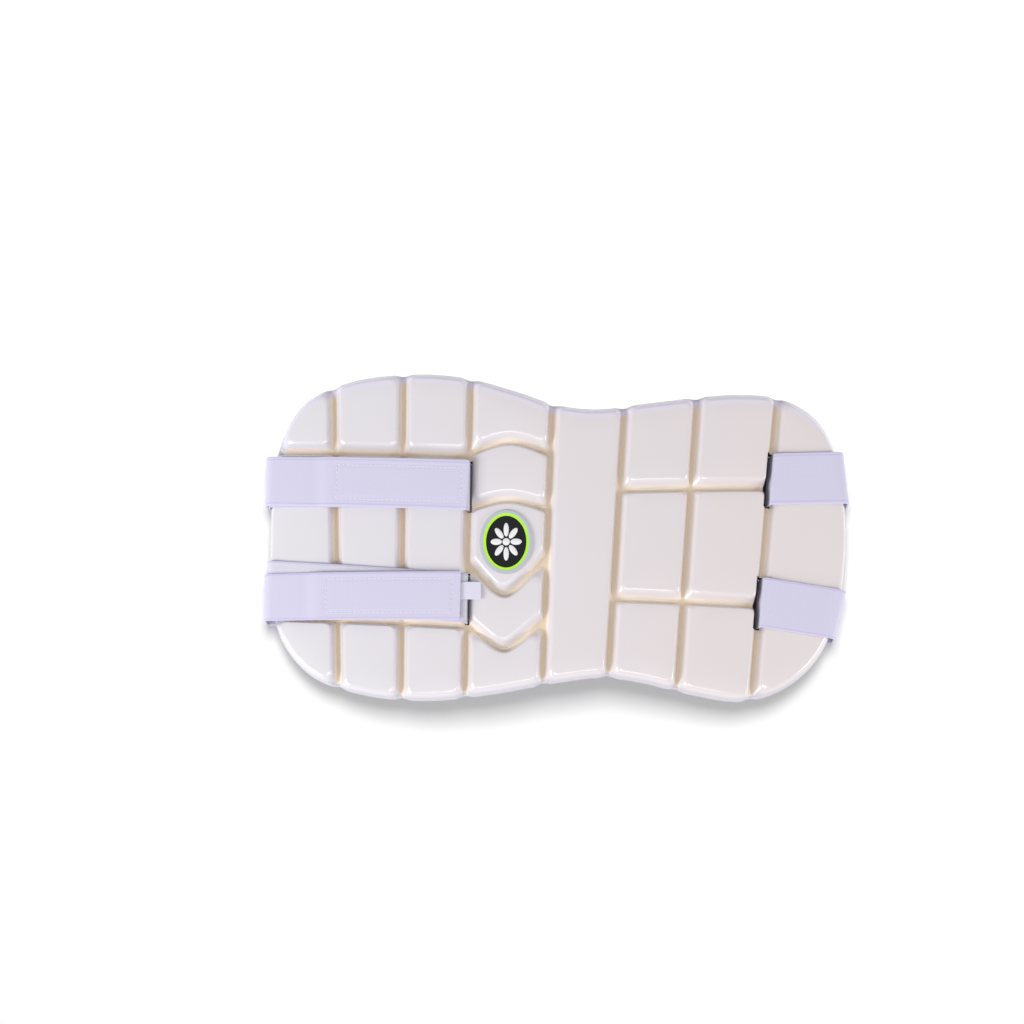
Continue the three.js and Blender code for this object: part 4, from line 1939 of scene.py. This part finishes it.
        # Beside an eased turn, the ends of a run are left out, so that the band has room to bend
        return [
            Turn(on_pad(slot[0] + self.tail_length, slot[1], layers.tail)),
            Turn(on_pad(*slot, layers.tail), self.slot_ease, lean),
            Turn(on_pad(*slot, layers.right_strap), self.slot_top_ease, lean),
            *self._face_run(slot, right, layers.right_strap)[2:-2],
            Turn(on_pad(*right, layers.right_strap), self.edge_ease, self.right_lean),
            Turn(Vector((edge_x, edge_y, floor)), self.back_ease, self.right_lean),
            Turn(Vector((self.fold_edge, self.left_edge_y, floor)), self.back_ease),
            Turn(on_pad(*left, layers.fold), self.edge_ease),
            *self._face_run(left, step_foot, layers.fold)[2:-1],
            Turn(on_pad(*step_foot, layers.fold), self.step_ease),
            Turn(on_pad(*step_top, layers.end), self.step_ease),
            *self._face_run(step_top, self.end, layers.end)[1:],
            Turn(on_pad(*self.end, layers.end)),
        ]

    def _strip_turns(self) -> list[Turn]:
        """Works out the run of the loop strip.

        Returns:
            Its turns: up through the left slot, over the front, round the left edge and back.
        """
        on_pad, layers = self.arch.on_pad, self.layers
        lean = self.left_groove.lean
        wall = self.left_slot_shift - self.left_slot_width / 2 + layers.gap + layers.strip_thickness / 2
        slot = (self.left_groove.x_at(self.strip_slot_y) + wall, self.strip_slot_y)
        edge = (self.arch.plan_for(self.strip_edge, layers.strip), self.strip_edge_y)
        back_edge = (self.arch.plan_for(self.strip_edge, layers.tail), self.strip_edge_y)
        return [
            Turn(on_pad(*slot, layers.tail), self.slot_ease, lean),
            Turn(on_pad(*slot, layers.strip), self.slot_top_ease, lean),
            *self._face_run(slot, edge, layers.strip)[2:-2],
            Turn(on_pad(*edge, layers.strip), self.edge_ease),
            Turn(on_pad(*back_edge, layers.tail), self.back_ease),
            *self._face_run(back_edge, slot, layers.tail)[1:-1],
        ]

    def _patch_turns(self) -> list[Turn]:
        """Works out the run of the hook patch.

        Returns:
            Its turns, under the strap's end.
        """
        start = (self.patch_start, self._front_height(self.patch_start))
        end = (self.patch_end, self._front_height(self.patch_end))
        level = self.layers.patch
        return [
            Turn(self.arch.on_pad(*start, level)),
            *self._face_run(start, end, level),
            Turn(self.arch.on_pad(*end, level)),
        ]

    def _end_seams(self, length: float) -> list[Seam]:
        """Seams of the rectangle sewn through the strap's end and the hook patch under it.

        Args:
            length: the strap's length.

        Returns:
            The four seams.
        """
        far = length - (self.end[0] - self.patch_end) - self.seam_inset
        near = length - (self.end[0] - self.patch_start) + self.seam_inset
        half = self.seam_half_width
        corners = [Vector(corner) for corner in ((near, -half), (far, -half), (far, half), (near, half))]
        return [Seam(start, end) for start, end in zip(corners, corners[1:] + corners[:1])]

    def _strip_seams(self) -> list[Seam]:
        """Seams along both edges of the loop strip's front.

        Returns:
            The two seams.
        """
        start = self.layers.strip + 2 * self.slot_top_ease
        end = abs(self.strip_edge) - abs(self.left_groove.x_at(self.strip_slot_y))
        offset = self.strip_width / 2 - self.strip_seam_inset
        return [Seam(Vector((start, side * offset)), Vector((end, side * offset))) for side in (-1, 1)]


@dataclass
class SizeTab:
    """Small blank woven tab, folded double and sewn in beside a strap's end."""

    arch: Arch
    y: float = -35.5
    hidden_x: float = -65.5
    fold_x: float = -58.5
    tip_x: float = -49.5
    tip_rise: float = 1.4
    width: float = 11.5
    thickness: float = 0.8
    ease: float = 2.5
    step: float = 1.0
    layers: Layers = field(default_factory=Layers)
    band: Band | None = None

    def build(self) -> None:
        """Makes the tab."""
        tip_level = self.layers.crown + self.tip_rise
        turns = [
            Turn(self.arch.on_pad(self.hidden_x, self.y, self.layers.patch)),
            Turn(self.arch.on_pad(self.fold_x, self.y, self.layers.patch), self.ease),
            Turn(self.arch.on_pad(self.tip_x, self.y, tip_level)),
        ]
        self.band = Band(
            "size_tab_band", self.arch, turns, lambda x: self.width, self.thickness, step=self.step)
        self.band.build()

    def dress(self, weave: WovenTab) -> list[bpy.types.Object]:
        """Gives the tab its finish and sets it on the guard.

        Args:
            weave: the finish.

        Returns:
            The dressed piece.
        """
        self.band.piece.data.materials.append(weave.material())
        ride(self.band.piece, "woven_tab", "size_tab")
        self.band.length * MM
        return [self.band.piece]


@dataclass
class Badge:
    """Oval rubber badge: a rim, a bright ring inside it and a dark field with a plain rosette."""

    arch: Arch
    x: float = -33.5
    y: float = -3.5
    half_width: float = 17.0
    half_height: float = 21.0
    level: float = 14.5
    rise: float = 1.3
    edge: float = 0.35
    rim_width: float = 1.9
    ring_width: float = 1.5
    step_width: float = 0.25
    field_drop: float = 0.45
    sides: int = 96
    petals: int = 8
    petal_length: float = 9.0
    petal_width: float = 4.2
    petal_rise: float = 0.55
    petal_start: float = 3.4
    eye_radius: float = 2.4
    petal_sides: int = 20
    petal_rings: int = 10
    sharp_angle: float = math.radians(35)
    piece: bpy.types.Object | None = None

    def build(self) -> None:
        """Makes the badge."""
        bm = bmesh.new()
        oval = Matrix.Translation((self.x, self.y, self.level)) @ Matrix.Diagonal(
            (self.half_width, self.half_height, 1.0, 1.0))
        bmesh.ops.create_circle(bm, cap_ends=True, segments=self.sides, radius=1.0, matrix=oval)
        face = bm.faces[:][0]
        if face.normal.z < 0:
            face.normal_flip()
        for inset, depth, part in (
            (0.0, self.rise - self.edge, BadgeColour.RIM),
            (self.edge, self.edge, BadgeColour.RIM),
            (self.rim_width, 0.0, BadgeColour.RIM),
            (self.step_width, -self.field_drop / 2, BadgeColour.RING),
            (self.ring_width, 0.0, BadgeColour.RING),
            (self.step_width, -self.field_drop / 2, BadgeColour.FIELD),
        ):
            made = bmesh.ops.inset_individual(
                bm, faces=[face], thickness=inset, depth=depth, use_even_offset=True)
            for wall in made["faces"]:
                wall.material_index = part.value
        face.material_index = BadgeColour.FIELD.value
        self._add_rosette(bm)
        self.arch.bend(bm)
        self.piece = to_object("badge_plate", bm)
        self.piece.data.set_sharp_from_angle(angle=self.sharp_angle)

    def dress(self, rubber: BadgeRubber) -> list[bpy.types.Object]:
        """Gives the badge its colours and sets it on the guard.

        Args:
            rubber: the finish.

        Returns:
            The dressed piece.
        """
        for part in BadgeColour:
            self.piece.data.materials.append(rubber.material(part))
        ride(self.piece, "badge_rubber", "badge")
        return [self.piece]

    def _add_rosette(self, bm: bmesh.types.BMesh) -> None:
        """Adds raised petals round an eye in the middle of the badge.

        Args:
            bm: the badge's mesh.
        """
        top = self.level + self.rise - self.field_drop
        middle = Matrix.Translation((self.x, self.y, top))
        squeeze = Matrix.Diagonal((self.half_width / self.half_height, 1.0, 1.0, 1.0))
        before = set(bm.faces)
        shapes = []
        for i in range(self.petals):
            turn = Matrix.Rotation(2 * math.pi * i / self.petals, 4, "Z")
            out = Matrix.Translation((0.0, self.petal_start + self.petal_length / 2, 0.0))
            size = Matrix.Diagonal((self.petal_width / 2, self.petal_length / 2, self.petal_rise, 1.0))
            shapes.append(middle @ squeeze @ turn @ out @ size)
        eye = Matrix.Diagonal((self.eye_radius, self.eye_radius, self.petal_rise, 1.0))
        for shape in (*shapes, middle @ eye):
            bmesh.ops.create_uvsphere(
                bm, u_segments=self.petal_sides, v_segments=self.petal_rings, radius=1.0, matrix=shape)
        for face in set(bm.faces) - before:
            face.material_index = BadgeColour.ROSETTE.value


@dataclass(frozen=True)
class Softbox:
    """Square-cornered soft light aimed at the guard: its place and size in metres and its power in watts."""

    name: str
    place: tuple[float, float, float]
    size: tuple[float, float]
    power: float
    lit: Lit

    def build(self, floor: bpy.types.Object) -> None:
        """Makes the light.

        Args:
            floor: the floor, which the light shines on alone or leaves out.
        """
        light = bpy.data.lights.new(self.name, "AREA")
        light.shape = "RECTANGLE"
        light.size, light.size_y = self.size
        light.energy = self.power
        lamp = bpy.data.objects.new(self.name, light)
        lamp.location = self.place
        lamp.rotation_euler = (-Vector(self.place)).to_track_quat("-Z", "Y").to_euler()
        bpy.context.scene.collection.objects.link(lamp)
        linked = bpy.data.collections.new(f"{self.name}_receivers")
        linked.objects.link(floor)
        linked.collection_objects[0].light_linking.link_state = self.lit.value
        lamp.light_linking.receiver_collection = linked


@dataclass(frozen=True)
class Studio:
    """Pale floor, soft light and the camera at the photograph's angle, in metres."""

    tilt: float = math.radians(9.5)
    distance: float = 2.2
    target_height: float = 0.030
    lens: float = 118.6
    shift_x: float = -0.0444
    shift_y: float = 0.0239
    floor_size: float = 6.0
    floor_level: float = -0.0003
    floor_colour: str = "#bcbcbc"
    floor_glow: float = 0.28
    sky_colour: str = "#ffffff"
    sky_strength: float = 0.45
    softboxes: tuple[Softbox, ...] = (
        Softbox("overhead_softbox", place=(0.0, 0.83, 3.2), size=(1.5, 1.5), power=126.0, lit=Lit.FLOOR),
        Softbox("left_softbox", place=(-1.9, -0.8, 1.15), size=(1.2, 1.0), power=35.0, lit=Lit.GUARD),
        Softbox("right_softbox", place=(1.9, -0.5, 0.65), size=(1.0, 0.8), power=19.0, lit=Lit.GUARD),
        Softbox("front_softbox", place=(0.0, -0.9, 2.3), size=(1.6, 0.5), power=15.0, lit=Lit.GUARD),
    )

    def build(self) -> None:
        """Makes the floor, the lights and the camera."""
        floor = self._add_floor()
        self._add_sky()
        for softbox in self.softboxes:
            softbox.build(floor)
        self._add_camera()
        bpy.context.scene.view_settings.view_transform = "Standard"

    def _add_floor(self) -> bpy.types.Object:
        """Adds the pale floor that the guard lies on, lit from below as well so that shadows stay light.

        Returns:
            The floor.
        """
        bm = bmesh.new()
        level = Matrix.Translation(UP * self.floor_level)
        bmesh.ops.create_grid(bm, x_segments=1, y_segments=1, size=self.floor_size / 2, matrix=level)
        floor = to_object("floor", bm)
        material, _ = new_material(
            "opal_acrylic", Base_Color=linear(self.floor_colour), Roughness=0.9,
            Emission_Color=linear(self.sky_colour), Emission_Strength=self.floor_glow)
        floor.data.materials.append(material)
        return floor

    def _add_sky(self) -> None:
        """Adds even light from all round."""
        world = bpy.data.worlds.new("studio")
        world.use_nodes = True
        background = world.node_tree.nodes["Background"]
        background.inputs["Color"].default_value = linear(self.sky_colour)
        background.inputs["Strength"].default_value = self.sky_strength
        bpy.context.scene.world = world

    def _add_camera(self) -> None:
        """Adds the camera, over the guard and tilted towards its lower edge."""
        lens = bpy.data.cameras.new("camera")
        lens.lens = self.lens
        lens.shift_x = self.shift_x
        lens.shift_y = self.shift_y
        camera = bpy.data.objects.new("camera", lens)
        back = Vector((0.0, -math.sin(self.tilt), math.cos(self.tilt)))
        camera.location = UP * self.target_height + back * self.distance
        camera.rotation_euler = (self.tilt, 0.0, 0.0)
        bpy.context.scene.collection.objects.link(camera)
        bpy.context.scene.camera = camera


# Levels of the back and the face of the badge's solid
BADGE_BACK_LEVEL = 14.9
BADGE_FACE_LEVEL = 16.1

# Where the grooves and the outer edge lie in plan
LEFT_ROWS = (Row((-184.0, 60.5), (-60.0, 54.0)), Row((-184.0, -49.5), (-60.0, -58.0)))
RIGHT_ROWS = (Row((38.0, 31.0), (137.0, 34.6)), Row((35.0, -40.4), (130.0, -43.4)))
BADGE_ROWS = (
    Row((-58.0, 55.0), (-6.0, 55.0), tip=63.0, softness=0.5),
    Row((-59.0, 18.0), (-7.0, 18.0), tip=24.5, softness=0.5),
    Row((-60.5, -14.5), (-9.5, -14.5), tip=-37.5, softness=0.3),
    Row((-60.2, -55.3), (-10.2, -55.3), tip=-73.3, softness=0.25),
)
GROOVES = (
    Groove(-148.2, -142.9), Groove(-101.8, -101.9), Groove(-57.6, -60.7), Groove(-3.6, -10.6),
    Groove(43.9, 31.4), Groove(91.3, 76.3), Groove(144.2, 125.2),
)
STRIP_GROOVE, STRAP_GROOVE = GROOVES[2], GROOVES[6]
OUTLINE_KNOTS = (
    (-190.0, 0.0), (-188.5, 40.0), (-182.5, 69.0), (-167.5, 93.0), (-140.0, 105.5), (-98.0, 110.0),
    (-62.0, 107.0), (-28.0, 97.5), (0.0, 88.0), (26.0, 85.5), (60.0, 90.0), (118.0, 97.0), (148.0, 95.0),
    (170.5, 82.5), (183.5, 59.0), (189.5, 20.0), (188.5, -17.0), (182.0, -51.0), (167.0, -80.0),
    (145.0, -98.0), (120.0, -105.5), (84.0, -101.0), (54.0, -94.0), (29.0, -91.0), (2.0, -94.0),
    (-45.0, -102.0), (-85.0, -105.5), (-125.0, -101.5), (-160.0, -89.0), (-181.0, -65.0), (-189.0, -30.0),
)


def guard_arch() -> Arch:
    """Works out the pad's arch, set in the row frame by where the badge's solid lies.

    Returns:
        The arch.
    """
    plain = Arch()
    low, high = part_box("badge")
    left = plain.on_pad(Badge.x - Badge.half_width, Badge.y, BADGE_FACE_LEVEL).x
    right = plain.on_pad(Badge.x + Badge.half_width, Badge.y, BADGE_BACK_LEVEL).x
    middle = (low + high) / (2 * MM)
    return Arch(shift=Vector((middle.x - (left + right) / 2, middle.y - Badge.y, 0.0)))


def main() -> None:
    """Sets up the studio, builds and dresses the guard's pieces in order, and reports each of them."""
    logging.basicConfig(level=logging.INFO)
    arch = guard_arch()
    Studio().build()
    upper = Fastening(
        name="upper", arch=arch, left_width=32.5, right_width=34.5, slot_y=40.0, right_edge=(188.8, 43.0),
        right_lean=-0.1, left_edge_y=40.5, end=(-57.9, 33.5), patch_start=-147.0, patch_end=-60.5,
        strip_edge_y=39.5, strip_slot_y=34.0, right_groove=STRAP_GROOVE, left_groove=STRIP_GROOVE)
    lower = Fastening(
        name="lower", arch=arch, left_width=31.0, right_width=33.0, slot_y=-41.5, right_edge=(183.8, -48.0),
        right_lean=0.24, left_edge_y=-36.5, end=(-62.5, -39.0), patch_start=-153.0, patch_end=-66.5,
        strip_edge_y=-28.0, strip_slot_y=-40.0, right_groove=STRAP_GROOVE, left_groove=STRIP_GROOVE)
    pad = MouldedPad(
        arch=arch,
        knots=OUTLINE_KNOTS,
        grooves=GROOVES,
        columns=(LEFT_ROWS, LEFT_ROWS, LEFT_ROWS, BADGE_ROWS, (), RIGHT_ROWS, RIGHT_ROWS, ()),
        slots=(*upper.slots(), *lower.slots()),
    )
    pad.build()
    pieces = pad.dress(MouldedSkin(), SlotShadeFinish())
    for fastening in (upper, lower):
        fastening.build()
        pieces += fastening.dress(Elastic(), LoopPile(), HookTape(), Thread())
    tab = SizeTab(arch)
    tab.build()
    pieces += tab.dress(WovenTab())
    badge = Badge(arch)
    badge.build()
    pieces += badge.dress(BadgeRubber())
    for piece in pieces:
        LOG.info("%s: %d vertices", piece.name, len(piece.data.vertices))


if __name__ == "__main__":
    main()
